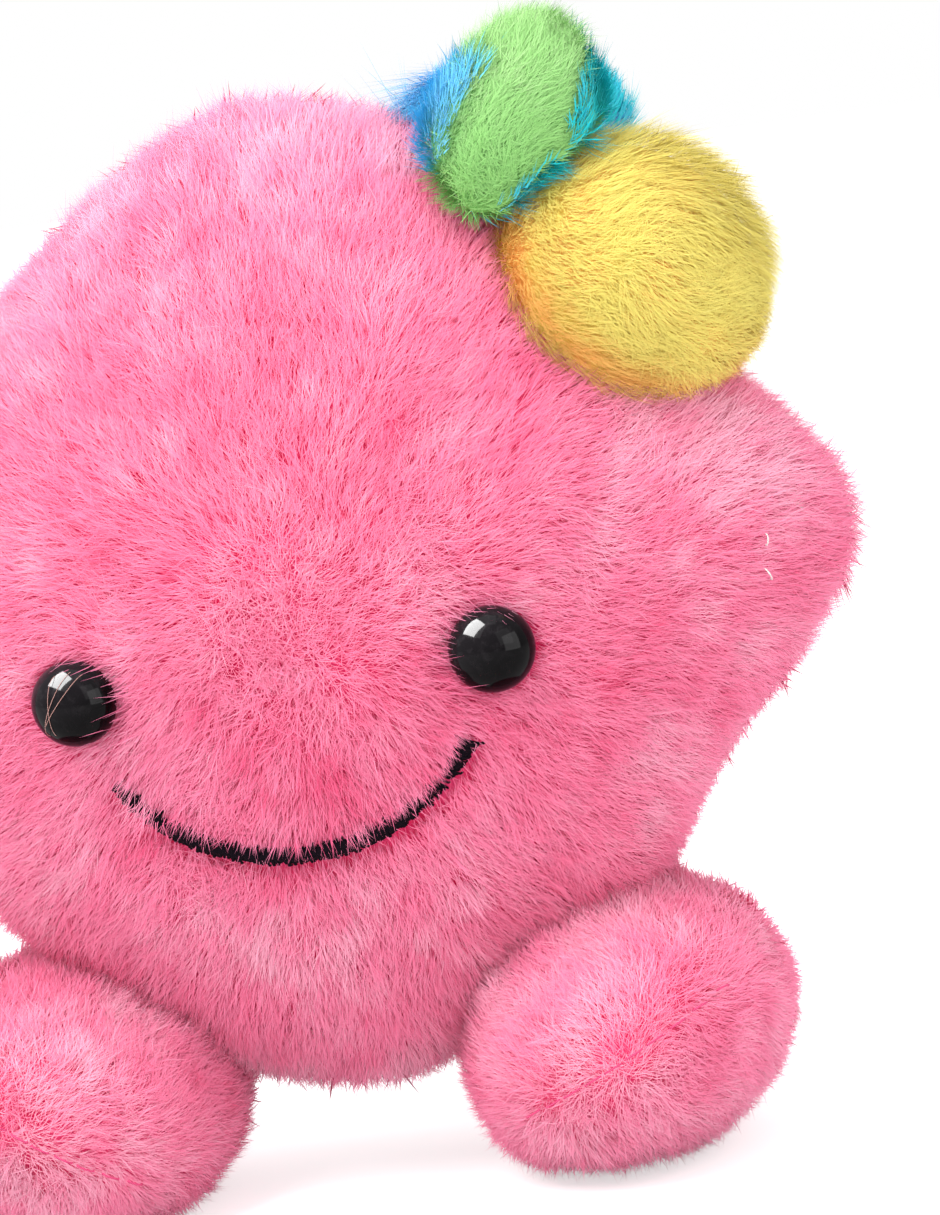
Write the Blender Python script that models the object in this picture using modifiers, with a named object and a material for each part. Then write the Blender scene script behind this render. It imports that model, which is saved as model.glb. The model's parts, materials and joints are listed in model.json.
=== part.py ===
"""Plush star: a stuffed five-lobed toy with two feet, a three-lobed tail and a plain face.

Metres, +Z up. The face looks along -Y and the object stands on its two feet at Z = 0.
Each covering is a hollow plush skin, split at its seam, round its own filling.
"""

import math

import bmesh
import bpy
from mathutils import Euler, Matrix, Vector

COLLECTION = "plush_star"
CUTTERS = "plush_star_cutters"

# Fabric and clearances
PLUSH = 0.0040            # thickness of a plush panel, backing and pile together
TAIL_PLUSH = 0.0032       # the tail lobes are sewn from a shorter pile
GAP = 0.0003              # left between solids that touch
SOFT_GAP = 0.0006         # left between soft forms that press on each other

# Star body, seen from the front
BODY_CENTRE_Z = 0.0674
TOP_REACH = 0.0618
SHOULDER_REACH = 0.0545
ARM_REACH = 0.0665
WAIST_REACH = 0.0529
LEG_REACH = 0.0550
SEAT_REACH = 0.0574
TOP_ANGLE = 90.0
SHOULDER_ANGLE = 46.0
ARM_ANGLE = 4.5
WAIST_ANGLE = -31.0
LEG_ANGLE = -60.0
SEAT_ANGLE = -90.0
TOP_ROUND = 1.1           # how sharply each side of a lobe rises: 1 is a plain wave
ARM_UPPER_ROUND = 2.0
ARM_UNDER_ROUND = 1.3
LEG_ROUND = 1.0
TOP_LEAN = 0.0042         # the top lobe leans towards the tail
LEAN_START = 0.0120       # above the body's centre

# Star body, seen from the side
FACE_DEPTH = 0.0280
BACK_DEPTH = 0.0260
BODY_POWER = 2.2          # 2 is an ellipsoid, more is fuller
LOBE_FADE = 1.6           # how fast the lobes fade towards the middle of the face

# Feet
FOOT_LENGTH = 0.0600      # front to back, well under the body so that it stands
FOOT_WIDTH = 0.0445       # along its long side, which rises outwards
FOOT_HEIGHT = 0.0355      # across it
LEFT_FOOT_SPREAD = 0.0350    # from the middle to each foot's centre
RIGHT_FOOT_SPREAD = 0.0312
FOOT_CENTRE_Z = 0.0152
FOOT_FORWARD = 0.0050     # from the body's centre to the feet's centres
FOOT_TILT = 22.0
LEFT_SEAM_TILT = 34.0     # the toe seams rise outwards too, each as it was sewn
RIGHT_SEAM_TILT = 25.0

# Tail lobes: place beside and above the body's centre, then size
YELLOW_OUT = 0.0425
YELLOW_UP = 0.0348
YELLOW_BACK = -0.0040
YELLOW_LENGTH = 0.0370
YELLOW_HEIGHT = 0.0350
YELLOW_DEPTH = 0.0350
YELLOW_TILT = -36.0
GREEN_OUT = 0.0325
GREEN_UP = 0.0512
GREEN_BACK = -0.0075
GREEN_LENGTH = 0.0325
GREEN_HEIGHT = 0.0235
GREEN_DEPTH = 0.0220
GREEN_TILT = 62.0
BLUE_OUT = 0.0300
BLUE_UP = 0.0492
BLUE_BACK = 0.0075
BLUE_LENGTH = 0.0340
BLUE_HEIGHT = 0.0250
BLUE_DEPTH = 0.0210
BLUE_TILT = 12.0

# Eyes: turned domes on shanks, held by washers behind the front panel
EYE_HEIGHT = 0.0642
EYE_SPREAD = 0.0245
EYE_RADIUS = 0.0050
EYE_DOME = 0.0044
EYE_RIM = 0.0007          # thickness of the dome's edge
EYE_SINK = 0.0012         # how far the dome's edge sits down in the pile
SHANK_RADIUS = 0.0015
SHANK_END = 0.0110        # below the surface of the pile
WASHER_RADIUS = 0.0048
WASHER_THICKNESS = 0.0011

# Mouth: a round arc of raised stitching
MOUTH_RADIUS = 0.0266
MOUTH_RISE = 0.0057       # the arc's centre above the eyes
MOUTH_HALF_ANGLE = 50.0
MOUTH_THREAD = 0.0014
MOUTH_POINTS = 21

# Bean pouch
POUCH_TOP = 0.0340

# Facets
BODY_AROUND = 56
BODY_RINGS = 14
LOBE_AROUND = 20
LOBE_RINGS = 12
TURN_STEPS = 16
DOME_STEPS = 5
CUTTER_REACH = 0.30

# The origin lies under the middle of the object's box
BODY_Y = (FOOT_LENGTH / 2 + FOOT_FORWARD - BACK_DEPTH) / 2
BODY_CENTRE = Vector((0.0, BODY_Y, BODY_CENTRE_Z))

PINK = (0.960, 0.330, 0.520)
YELLOW = (0.900, 0.780, 0.180)
GREEN = (0.300, 0.660, 0.220)
BLUE = (0.120, 0.520, 0.850)
WHITE = (0.900, 0.890, 0.870)
LINEN = (0.780, 0.740, 0.680)
BLACK = (0.010, 0.010, 0.012)


class StarForm:
    """The star's outer form: a puffed star, the same rule for its skin and its filling."""

    def __init__(self, inset=0.0):
        self.inset = inset
        self.centre = BODY_CENTRE
        self.keys = (
            (SEAT_ANGLE, SEAT_REACH, LEG_ROUND),
            (LEG_ANGLE, LEG_REACH, LEG_ROUND),
            (WAIST_ANGLE, WAIST_REACH, ARM_UNDER_ROUND),
            (ARM_ANGLE, ARM_REACH, ARM_UPPER_ROUND),
            (SHOULDER_ANGLE, SHOULDER_REACH, TOP_ROUND),
            (TOP_ANGLE, TOP_REACH, TOP_ROUND),
        )
        self.mean = sum(key[1] for key in self.keys) / len(self.keys) - inset

    def reach(self, angle):
        """The outline's distance from the centre, for an angle in degrees on either side."""
        for low, high in zip(self.keys, self.keys[1:]):
            if angle <= high[0]:
                break
        share = (angle - low[0]) / (high[0] - low[0])
        sharpness = low[2]
        if high[1] < low[1]:
            low, high, share = high, low, 1.0 - share
        rise = (0.5 - 0.5 * math.cos(math.pi * share)) ** sharpness
        return low[1] + (high[1] - low[1]) * rise - self.inset

    def lean(self, z):
        """How far the top lobe leans at a height above the centre."""
        share = min(max((z - LEAN_START) / (TOP_REACH - LEAN_START), 0.0), 1.0)
        return TOP_LEAN * share * share * (3.0 - 2.0 * share)

    def fullness(self, point):
        """Below 1 inside the form, 1 on its surface, and in proportion along a ray."""
        local = point - self.centre
        x = local.x - self.lean(local.z)
        depth = (FACE_DEPTH if local.y < 0.0 else BACK_DEPTH) - self.inset
        radius = math.hypot(x, local.z)
        angle = math.degrees(math.atan2(local.z, abs(x)))
        side = radius / max(math.hypot(radius, local.y * self.mean / depth), 1e-9)
        reach = self.mean + (self.reach(angle) - self.mean) * side ** LOBE_FADE
        power = (radius / reach) ** BODY_POWER + (abs(local.y) / depth) ** BODY_POWER
        return power ** (1.0 / BODY_POWER)

    def surface(self, direction):
        """The surface point for a direction on the unit sphere."""
        depth = (FACE_DEPTH if direction.y < 0.0 else BACK_DEPTH) - self.inset
        flat = Vector((direction.x * self.mean, direction.y * depth, direction.z * self.mean))
        point = self.centre + flat / self.fullness_of_flat(flat)
        point.x += self.lean(point.z - self.centre.z)
        return point

    def fullness_of_flat(self, local):
        """Fullness of a point that is given from the centre, before the lean."""
        upright = Vector((local.x + self.lean(local.z), local.y, local.z))
        return self.fullness(self.centre + upright)

    def front(self, x, z):
        """The point on the face side of the surface at a place x, z."""
        near = self.centre.y - FACE_DEPTH
        far = self.centre.y
        for _ in range(40):
            middle = (near + far) / 2
            if self.fullness(Vector((x, middle, z))) > 1.0:
                near = middle
            else:
                far = middle
        return Vector((x, far, z))

    def outward(self, point):
        """The surface's outward direction at a point."""
        step = 1e-5
        slopes = []
        for axis in (Vector((step, 0, 0)), Vector((0, step, 0)), Vector((0, 0, step))):
            slopes.append(self.fullness(point + axis) - self.fullness(point - axis))
        return Vector(slopes).normalized()


class LobeForm:
    """A stuffed lobe: an ellipsoid turned in the plane of the face."""

    def __init__(self, centre, length, depth, height, tilt, inset=0.0):
        self.centre = centre
        self.half = Vector((length / 2 - inset, depth / 2 - inset, height / 2 - inset))
        self.turn = Euler((0.0, -math.radians(tilt), 0.0)).to_matrix()

    def surface(self, direction):
        """The surface point for a direction on the unit sphere."""
        local = Vector((direction.x * self.half.x, direction.y * self.half.y, direction.z * self.half.z))
        return self.centre + self.turn @ local


def collection(name):
    """A new collection in the scene."""
    made = bpy.data.collections.new(name)
    bpy.context.scene.collection.children.link(made)
    return made


def material(name, colour, roughness, metallic=0.0):
    """A plain Principled material."""
    made = bpy.data.materials.new(name)
    made.use_nodes = True
    shader = made.node_tree.nodes["Principled BSDF"]
    shader.inputs["Base Color"].default_value = (*colour, 1.0)
    shader.inputs["Roughness"].default_value = roughness
    shader.inputs["Metallic"].default_value = metallic
    return made


def add_object(name, data, group, finish=None):
    """An object in a collection, with its material."""
    made = bpy.data.objects.new(name, data)
    group.objects.link(made)
    if finish:
        data.materials.append(finish)
    return made


def as_cutter(obj):
    """Marks an object as a cutter, which isn't shown."""
    obj.hide_render = True
    obj.display_type = "WIRE"
    return obj


def form_mesh(name, form, around, rings, floor=None):
    """A UV sphere with its poles front and back, drawn out to a form and flat where it stands."""
    made = bmesh.new()
    bmesh.ops.create_uvsphere(made, u_segments=around, v_segments=rings, radius=1.0)
    bmesh.ops.rotate(made, verts=made.verts, matrix=Matrix.Rotation(math.radians(90), 3, "X"))
    for vert in made.verts:
        vert.co = form.surface(vert.co.normalized())
        if floor is not None:
            vert.co.z = max(vert.co.z, floor)
    bmesh.ops.recalc_face_normals(made, faces=made.faces)
    mesh = bpy.data.meshes.new(name)
    made.to_mesh(mesh)
    made.free()
    mesh.shade_smooth()
    return mesh


def cut(obj, cutter):
    """Takes a cutter's shape out of an object."""
    step = obj.modifiers.new("cut_" + cutter.name, "BOOLEAN")
    step.operation = "DIFFERENCE"
    step.object = cutter
    return obj


def half_space(name, group, point, normal):
    """A large block on the side of a plane that its normal points to."""
    made = bmesh.new()
    bmesh.ops.create_cube(made, size=CUTTER_REACH)
    bmesh.ops.translate(made, verts=made.verts, vec=(0, 0, CUTTER_REACH / 2))
    mesh = bpy.data.meshes.new(name)
    made.to_mesh(mesh)
    made.free()
    block = add_object(name, mesh, group)
    block.location = point
    block.rotation_euler = Vector(normal).to_track_quat("Z", "Y").to_euler()
    return as_cutter(block)


def turned(name, profile, group, place, finish=None, ring=False):
    """A profile of (radius, height) points, turned about its axis and put in place."""
    mesh = bpy.data.meshes.new(name)
    points = [(radius, 0.0, height) for radius, height in profile]
    edges = [(i, i + 1) for i in range(len(points) - 1)]
    if ring:
        edges.append((len(points) - 1, 0))
    mesh.from_pydata(points, edges, [])
    made = add_object(name, mesh, group, finish)
    screw = made.modifiers.new("turn", "SCREW")
    screw.steps = TURN_STEPS
    screw.render_steps = TURN_STEPS
    screw.use_merge_vertices = True
    screw.merge_threshold = 1e-5
    screw.use_smooth_shade = True
    made.matrix_world = place
    return made


def room(name, form, around, rings, group, floor=None):
    """A cutter in the shape of a form: the room that something else needs."""
    return as_cutter(add_object(name, form_mesh(name, form, around, rings, floor), group))


def body_parts(group, cutters, mats):
    """The star's two panels, its filling and the bean pouch in its seat."""
    hollow = room("star_hollow", StarForm(PLUSH), BODY_AROUND, BODY_RINGS, cutters)
    panels = []
    for name, toward in (("body_front_panel", 1.0), ("body_back_panel", -1.0)):
        panel = form_mesh(name, StarForm(), BODY_AROUND, BODY_RINGS)
        panel = add_object(name, panel, group, mats["pink"])
        edge = BODY_CENTRE - Vector((0.0, toward * GAP / 2, 0.0))
        cut(panel, hollow)
        cut(panel, half_space(name + "_seam", cutters, edge, (0.0, toward, 0.0)))
        panels.append(panel)
    core = StarForm(PLUSH + GAP)
    filling = form_mesh("body_filling", core, BODY_AROUND, BODY_RINGS)
    filling = add_object("body_filling", filling, group, mats["fibre"])
    top = Vector((0.0, 0.0, POUCH_TOP))
    cut(filling, half_space("pouch_room", cutters, top + Vector((0.0, 0.0, GAP)), (0, 0, -1)))
    pouch = form_mesh("bean_pouch", core, BODY_AROUND, BODY_RINGS)
    pouch = add_object("bean_pouch", pouch, group, mats["linen"])
    cut(pouch, half_space("filling_room", cutters, top, (0, 0, 1)))
    return panels[0], filling


class StuffedLobe:
    """A stuffed lobe sewn to the star: a plush cover, open at its root, round a filling."""

    def __init__(self, label, form_of, plush, floor, neighbours, group, cutters):
        self.label = label
        self.form_of = form_of
        self.plush = plush
        self.floor = floor
        self.neighbours = neighbours
        self.group = group
        self.cutters = cutters
        self.star = self.cutter("star", StarForm(-SOFT_GAP), BODY_AROUND, BODY_RINGS)

    def cutter(self, word, form, around=LOBE_AROUND, rings=LOBE_RINGS, floor=None):
        """A cutter of this lobe's own."""
        return room(f"{self.label}_{word}_room", form, around, rings, self.cutters, floor)

    def shape(self, name, inset, material_used):
        """The lobe's form, smaller by an inset, as an object."""
        floor = None if self.floor is None else self.floor + inset
        mesh = form_mesh(name, self.form_of(inset), LOBE_AROUND, LOBE_RINGS, floor)
        return add_object(name, mesh, self.group, material_used)

    def clear_of_neighbours(self, obj, word, clearance):
        """Takes the lobes that this one presses on out of an object."""
        for number, form_of in enumerate(self.neighbours):
            cut(obj, self.cutter(f"{word}_{number}", form_of(-clearance)))

    def covers(self, parts, finish):
        """The cover's parts, each a name and the plane of its seam or None."""
        floor = None if self.floor is None else self.floor + self.plush
        hollow = self.cutter("hollow", self.form_of(self.plush), floor=floor)
        self.clear_of_neighbours(hollow, "wall", self.plush + SOFT_GAP)
        for name, seam in parts:
            cover = self.shape(name, 0.0, finish)
            cut(cover, self.star)
            self.clear_of_neighbours(cover, "cover", SOFT_GAP)
            cut(cover, hollow)
            if seam:
                cut(cover, half_space(name + "_seam", self.cutters, *seam))

    def filling(self, finish):
        """The filling, which fits in the covers and meets the star at the root."""
        core = self.shape(self.label + "_filling", self.plush + GAP, finish)
        cut(core, self.star)
        self.clear_of_neighbours(core, "core", self.plush + SOFT_GAP + GAP)


def foot_parts(side, word, spread, seam_tilt, group, cutters, mats):
    """One foot: an upper and a sole panel, sewn across the toe, and its filling."""
    centre = Vector((side * spread, BODY_Y - FOOT_FORWARD, FOOT_CENTRE_Z))

    def form_of(inset):
        return LobeForm(centre, FOOT_WIDTH, FOOT_LENGTH, FOOT_HEIGHT, side * FOOT_TILT, inset)

    tilt = math.radians(side * seam_tilt)
    up = Vector((-math.sin(tilt), 0.0, math.cos(tilt)))
    foot = StuffedLobe(f"foot_{word}", form_of, PLUSH, 0.0, (), group, cutters)
    upper = (f"foot_{word}_upper", (centre + up * GAP / 2, -up))
    sole = (f"foot_{word}_sole", (centre - up * GAP / 2, up))
    foot.covers((upper, sole), mats["pink"])
    foot.filling(mats["fibre"])


def tail_parts(group, cutters, mats):
    """The three stuffed lobes of the tail, each clear of the star and of the ones before it."""
    lobes = (
        ("yellow", YELLOW_OUT, YELLOW_BACK, YELLOW_UP,
         YELLOW_LENGTH, YELLOW_DEPTH, YELLOW_HEIGHT, YELLOW_TILT),
        ("green", GREEN_OUT, GREEN_BACK, GREEN_UP,
         GREEN_LENGTH, GREEN_DEPTH, GREEN_HEIGHT, GREEN_TILT),
        ("blue", BLUE_OUT, BLUE_BACK, BLUE_UP,
         BLUE_LENGTH, BLUE_DEPTH, BLUE_HEIGHT, BLUE_TILT),
    )
    before = []
    for word, out, back, up, length, depth, height, tilt in lobes:
        centre = BODY_CENTRE + Vector((out, back, up))

        def form_of(inset, place=centre, sizes=(length, depth, height, tilt)):
            return LobeForm(place, *sizes, inset)

        name = "tail_" + word
        lobe = StuffedLobe(name, form_of, TAIL_PLUSH, None, tuple(before), group, cutters)
        lobe.covers(((name + "_cover", None),), mats[word])
        lobe.filling(mats["fibre"])
        before.append(form_of)


def eye_parts(side, word, group, cutters, mats, front, filling):
    """One eye with its shank and washer, and the seats they leave in panel and filling."""
    star = StarForm()
    seat = star.front(side * EYE_SPREAD, EYE_HEIGHT)
    axis = star.outward(seat)
    place = Matrix.Translation(seat) @ axis.to_track_quat("Z", "Y").to_matrix().to_4x4()
    rim_top = -EYE_SINK
    rim_back = rim_top - EYE_RIM
    dome = []
    for step in range(DOME_STEPS + 1):
        turn = math.radians(90.0 * step / DOME_STEPS)
        dome.append((EYE_RADIUS * math.sin(turn), rim_top + EYE_DOME * math.cos(turn)))
    profile = dome + [(EYE_RADIUS, rim_back), (SHANK_RADIUS, rim_back),
                      (SHANK_RADIUS, -SHANK_END), (0.0, -SHANK_END)]
    turned(f"eye_{word}", profile, group, place, mats["eye"])
    washer_top = -PLUSH - 2 * GAP
    washer_back = washer_top - WASHER_THICKNESS
    bore = SHANK_RADIUS + GAP
    section = ((bore, washer_top), (WASHER_RADIUS, washer_top), (WASHER_RADIUS, washer_back),
               (bore, washer_back))
    turned(f"eye_washer_{word}", section, group, place, mats["washer"], ring=True)
    seat_radius = EYE_RADIUS + GAP
    clear = EYE_DOME + EYE_RADIUS
    panel_room = ((0.0, clear), (seat_radius, clear), (seat_radius, rim_back - GAP),
                  (bore, rim_back - GAP), (bore, -SHANK_END - GAP), (0.0, -SHANK_END - GAP))
    cut(front, as_cutter(turned(f"eye_{word}_seat", panel_room, cutters, place)))
    washer_room = WASHER_RADIUS + GAP
    inner_room = ((0.0, clear), (washer_room, clear), (washer_room, washer_back - GAP),
                  (bore, washer_back - GAP), (bore, -SHANK_END - GAP), (0.0, -SHANK_END - GAP))
    cut(filling, as_cutter(turned(f"eye_{word}_pocket", inner_room, cutters, place)))


def mouth_curve(name, radius):
    """The mouth's arc on the front of the star, as a round thread."""
    star = StarForm()
    data = bpy.data.curves.new(name, "CURVE")
    data.dimensions = "3D"
    data.bevel_depth = radius
    data.bevel_resolution = 2
    data.use_fill_caps = True
    spline = data.splines.new("POLY")
    spline.points.add(MOUTH_POINTS - 1)
    for i in range(MOUTH_POINTS):
        turn = math.radians(MOUTH_HALF_ANGLE * (2.0 * i / (MOUTH_POINTS - 1) - 1.0))
        x = MOUTH_RADIUS * math.sin(turn)
        z = EYE_HEIGHT + MOUTH_RISE - MOUTH_RADIUS * math.cos(turn)
        spline.points[i].co = (*star.front(x, z), 1.0)
    return data


def mouth_parts(group, cutters, mats, front):
    """The embroidered mouth and the groove that it lies in."""
    add_object("mouth_embroidery", mouth_curve("mouth_embroidery", MOUTH_THREAD / 2),
               group, mats["thread"])
    route = add_object("mouth_route", mouth_curve("mouth_route", MOUTH_THREAD / 2 + GAP), cutters)
    bpy.context.view_layer.update()
    mesh = bpy.data.meshes.new_from_object(route.evaluated_get(bpy.context.evaluated_depsgraph_get()))
    made = bmesh.new()
    made.from_mesh(mesh)
    bmesh.ops.remove_doubles(made, verts=made.verts, dist=1e-6)
    made.to_mesh(mesh)
    made.free()
    groove = add_object("mouth_groove", mesh, cutters)
    groove.matrix_world = route.matrix_world
    bpy.data.objects.remove(route)
    cut(front, as_cutter(groove))


def build():
    """Builds the whole toy."""
    for obj in list(bpy.data.objects):
        bpy.data.objects.remove(obj)
    group = collection(COLLECTION)
    cutters = collection(CUTTERS)
    mats = {
        "pink": material("pink_plush", PINK, 0.85),
        "yellow": material("yellow_plush", YELLOW, 0.85),
        "green": material("green_plush", GREEN, 0.85),
        "blue": material("blue_plush", BLUE, 0.85),
        "fibre": material("white_fibre", WHITE, 0.95),
        "linen": material("pouch_cloth", LINEN, 0.90),
        "eye": material("eye_plastic", BLACK, 0.08),
        "washer": material("washer_plastic", WHITE, 0.45),
        "thread": material("mouth_thread", BLACK, 0.55),
    }
    front, filling = body_parts(group, cutters, mats)
    mouth_parts(group, cutters, mats, front)
    sides = (
        (-1, "left", LEFT_FOOT_SPREAD, LEFT_SEAM_TILT),
        (1, "right", RIGHT_FOOT_SPREAD, RIGHT_SEAM_TILT),
    )
    for side, word, spread, seam_tilt in sides:
        eye_parts(side, word, group, cutters, mats, front, filling)
        foot_parts(side, word, spread, seam_tilt, group, cutters, mats)
    tail_parts(group, cutters, mats)


build()
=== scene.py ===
"""Looks of a palm-size plush star: stuffed skins, combed pile, glossy eyes and a stitched smile.

Everything is in metres, +Z up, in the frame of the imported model. The face looks along -Y.
Each covering of the solid model becomes a simulated skin, and its pile grows on that skin.
"""

import json
import logging
import math
from collections.abc import Callable
from dataclasses import dataclass, field
from enum import Enum

import bmesh
import bpy
import numpy as np
from mathutils import Matrix, Vector
from mathutils.bvhtree import BVHTree
from mathutils.kdtree import KDTree

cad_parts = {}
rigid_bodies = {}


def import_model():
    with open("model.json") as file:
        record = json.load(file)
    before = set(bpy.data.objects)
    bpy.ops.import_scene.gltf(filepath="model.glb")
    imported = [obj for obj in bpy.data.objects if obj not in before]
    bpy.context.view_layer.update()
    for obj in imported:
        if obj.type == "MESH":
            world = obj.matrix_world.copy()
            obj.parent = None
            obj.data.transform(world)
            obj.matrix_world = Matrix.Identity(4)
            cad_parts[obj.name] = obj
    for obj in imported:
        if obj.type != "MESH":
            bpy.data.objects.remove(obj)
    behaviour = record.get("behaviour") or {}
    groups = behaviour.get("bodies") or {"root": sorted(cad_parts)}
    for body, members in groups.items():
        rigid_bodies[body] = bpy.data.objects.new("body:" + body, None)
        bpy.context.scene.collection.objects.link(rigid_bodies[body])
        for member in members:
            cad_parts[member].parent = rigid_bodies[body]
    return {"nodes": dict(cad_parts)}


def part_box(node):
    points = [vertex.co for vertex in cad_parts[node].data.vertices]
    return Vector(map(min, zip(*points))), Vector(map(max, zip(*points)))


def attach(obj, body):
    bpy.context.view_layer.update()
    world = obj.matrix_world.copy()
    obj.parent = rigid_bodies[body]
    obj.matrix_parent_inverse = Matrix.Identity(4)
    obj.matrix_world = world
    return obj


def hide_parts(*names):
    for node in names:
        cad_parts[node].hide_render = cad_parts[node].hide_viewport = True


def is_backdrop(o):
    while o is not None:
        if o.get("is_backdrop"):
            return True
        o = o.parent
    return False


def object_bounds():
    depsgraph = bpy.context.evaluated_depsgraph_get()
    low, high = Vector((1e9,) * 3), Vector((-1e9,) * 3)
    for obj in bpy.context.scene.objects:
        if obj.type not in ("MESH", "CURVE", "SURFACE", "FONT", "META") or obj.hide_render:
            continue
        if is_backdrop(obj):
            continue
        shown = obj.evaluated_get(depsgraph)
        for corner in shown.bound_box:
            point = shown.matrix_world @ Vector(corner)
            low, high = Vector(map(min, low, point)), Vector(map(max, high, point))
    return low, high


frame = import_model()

LOG = logging.getLogger("plush_star")
CAD_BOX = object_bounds()
BODY = "root"
FLOOR_GAP = 0.0003        # the lowest strands lie this far above the ground
SHORTEST = 1e-5           # a strand that is held up by something still runs on this far
RAY_START = Vector((0.0, -0.1, 0.0))         # rays from the front start here, and run back
BACKWARD = Vector((0.0, 1.0, 0.0))

Colour = tuple[float, float, float]
Points = np.ndarray
Socket = bpy.types.NodeSocket
Object = bpy.types.Object
Mesh = bpy.types.Mesh
Material = bpy.types.Material
Nap = Callable[[Points, Points], Points]


def dye(red: int, green: int, blue: int) -> Colour:
    """Turns a colour as it looks into the linear values that a shader takes.

    Args:
        red: Red as it looks, 0 to 255.
        green: Green as it looks, 0 to 255.
        blue: Blue as it looks, 0 to 255.

    Returns:
        The linear red, green and blue.
    """
    def linear(value: int) -> float:
        """One channel, by the sRGB curve."""
        share = value / 255.0
        return share / 12.92 if share <= 0.04045 else ((share + 0.055) / 1.055) ** 2.4

    return linear(red), linear(green), linear(blue)


def unit(vectors: Points) -> Points:
    """Scales each row to length 1."""
    return vectors / np.maximum(np.linalg.norm(vectors, axis=1, keepdims=True), 1e-9)


def along_surface(vectors: Points, normals: Points) -> Points:
    """Lays each row flat on the surface that has these normals, at length 1."""
    return unit(vectors - (vectors * normals).sum(1, keepdims=True) * normals)


def smooth_step(values: Points, low: float, high: float) -> Points:
    """Rises smoothly from 0 at low to 1 at high."""
    share = np.clip((values - low) / (high - low), 0.0, 1.0)
    return share * share * (3.0 - 2.0 * share)


class Waves:
    """Smooth, repeatable unevenness: a sum of plane waves."""

    def __init__(self, seed: int, size: float, count: int = 14) -> None:
        """Draws the waves.

        Args:
            seed: Seed of the random draws.
            size: Typical length of a wave, in metres.
            count: How many waves are added up.
        """
        rng = np.random.default_rng(seed)
        turns = unit(rng.normal(size=(count, 3)))
        self.waves = turns * (2.0 * math.pi / size) * rng.uniform(0.6, 1.5, (count, 1))
        self.starts = rng.uniform(0.0, 2.0 * math.pi, (3, count))
        self.scale = 1.0 / math.sqrt(count)

    def at(self, points: Points, row: int = 0) -> Points:
        """One value a point, mostly within -1 and 1, from one of the three independent fields."""
        return np.sin(points @ self.waves.T + self.starts[row]).sum(1) * self.scale

    def vectors(self, points: Points) -> Points:
        """Three independent values a point."""
        return np.stack([self.at(points, row) for row in range(3)], axis=1)


class Graph:
    """A node tree under construction."""

    def __init__(self, tree: bpy.types.NodeTree) -> None:
        """Takes the tree up."""
        self.tree = tree

    def link(self, source: Socket, target: Socket) -> None:
        """Links two sockets."""
        self.tree.links.new(source, target)

    def node(self, kind: str, links: dict[str | int, object] | None = None,
             **settings: object) -> bpy.types.Node:
        """Adds a node, sets its properties and feeds its inputs.

        Args:
            kind: The node's type.
            links: For each input, an output to link or a value to set.
            settings: The node's properties.

        Returns:
            The new node.
        """
        made = self.tree.nodes.new(kind)
        for key, value in settings.items():
            setattr(made, key, value)
        for socket, value in (links or {}).items():
            if isinstance(value, Socket):
                self.link(value, made.inputs[socket])
            else:
                made.inputs[socket].default_value = value
        return made

    def math(self, operation: str, first: object, second: object) -> Socket:
        """One sum of two values."""
        return self.node("ShaderNodeMath", {0: first, 1: second}, operation=operation).outputs[0]


class Shader(Graph):
    """A Principled material under construction."""

    # Where the Mix node has its sockets for colours
    MIX_INPUTS = (0, 6, 7)
    MIX_OUTPUT = 2

    def __init__(self, name: str, sockets: dict[str, float | tuple]) -> None:
        """Makes the material.

        Args:
            name: The material's name.
            sockets: Constants for the shader's own sockets.
        """
        self.material = bpy.data.materials.new(name)
        self.material.use_nodes = True
        super().__init__(self.material.node_tree)
        self.principled = self.tree.nodes["Principled BSDF"]
        for socket, value in sockets.items():
            self.principled.inputs[socket].default_value = value

    def paint(self, colour: Socket) -> None:
        """Makes an output the base colour."""
        self.link(colour, self.principled.inputs["Base Color"])

    def place(self) -> Socket:
        """The Object coordinates."""
        return self.node("ShaderNodeTexCoord").outputs["Object"]

    def attribute(self, name: str) -> Socket:
        """The value of a mesh attribute."""
        return self.node("ShaderNodeAttribute", attribute_name=name).outputs["Fac"]

    def ramp(self, factor: Socket, stops: list[tuple[float, Colour]]) -> Socket:
        """Maps a value to colours.

        Args:
            factor: The value, from 0 to 1.
            stops: Place and colour of each stop.

        Returns:
            The colour output.
        """
        made = self.node("ShaderNodeValToRGB", {"Fac": factor})
        made.color_ramp.interpolation = "EASE"
        while len(made.color_ramp.elements) < len(stops):
            made.color_ramp.elements.new(0.5)
        for element, (place, colour) in zip(made.color_ramp.elements, stops):
            element.position = place
            element.color = (*colour, 1.0)
        return made.outputs["Color"]

    def noise(self, scale: float, detail: float = 3.0, roughness: float = 0.5) -> Socket:
        """Noise on Object coordinates.

        Args:
            scale: How many of its features go in a metre.
            detail: How many finer layers it has.
            roughness: How strong the finer layers are.

        Returns:
            The noise, from 0 to 1.
        """
        return self.node("ShaderNodeTexNoise", {
            "Vector": self.place(), "Scale": scale, "Detail": detail, "Roughness": roughness,
        }).outputs["Fac"]

    def mix(self, *sources: Socket) -> Socket:
        """Mixes, from the share of the second colour, the first colour and the second."""
        made = self.node("ShaderNodeMix", dict(zip(self.MIX_INPUTS, sources)), data_type="RGBA")
        return made.outputs[self.MIX_OUTPUT]

    def bump(self, height: Socket, depth: float, strength: float = 0.6) -> None:
        """Adds relief from a height.

        Args:
            height: The height, from 0 to 1.
            depth: What a height of 1 stands for, in metres.
            strength: How much of it shows.
        """
        made = self.node("ShaderNodeBump", {"Strength": strength, "Distance": depth, "Height": height})
        self.link(made.outputs["Normal"], self.principled.inputs["Normal"])


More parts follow.
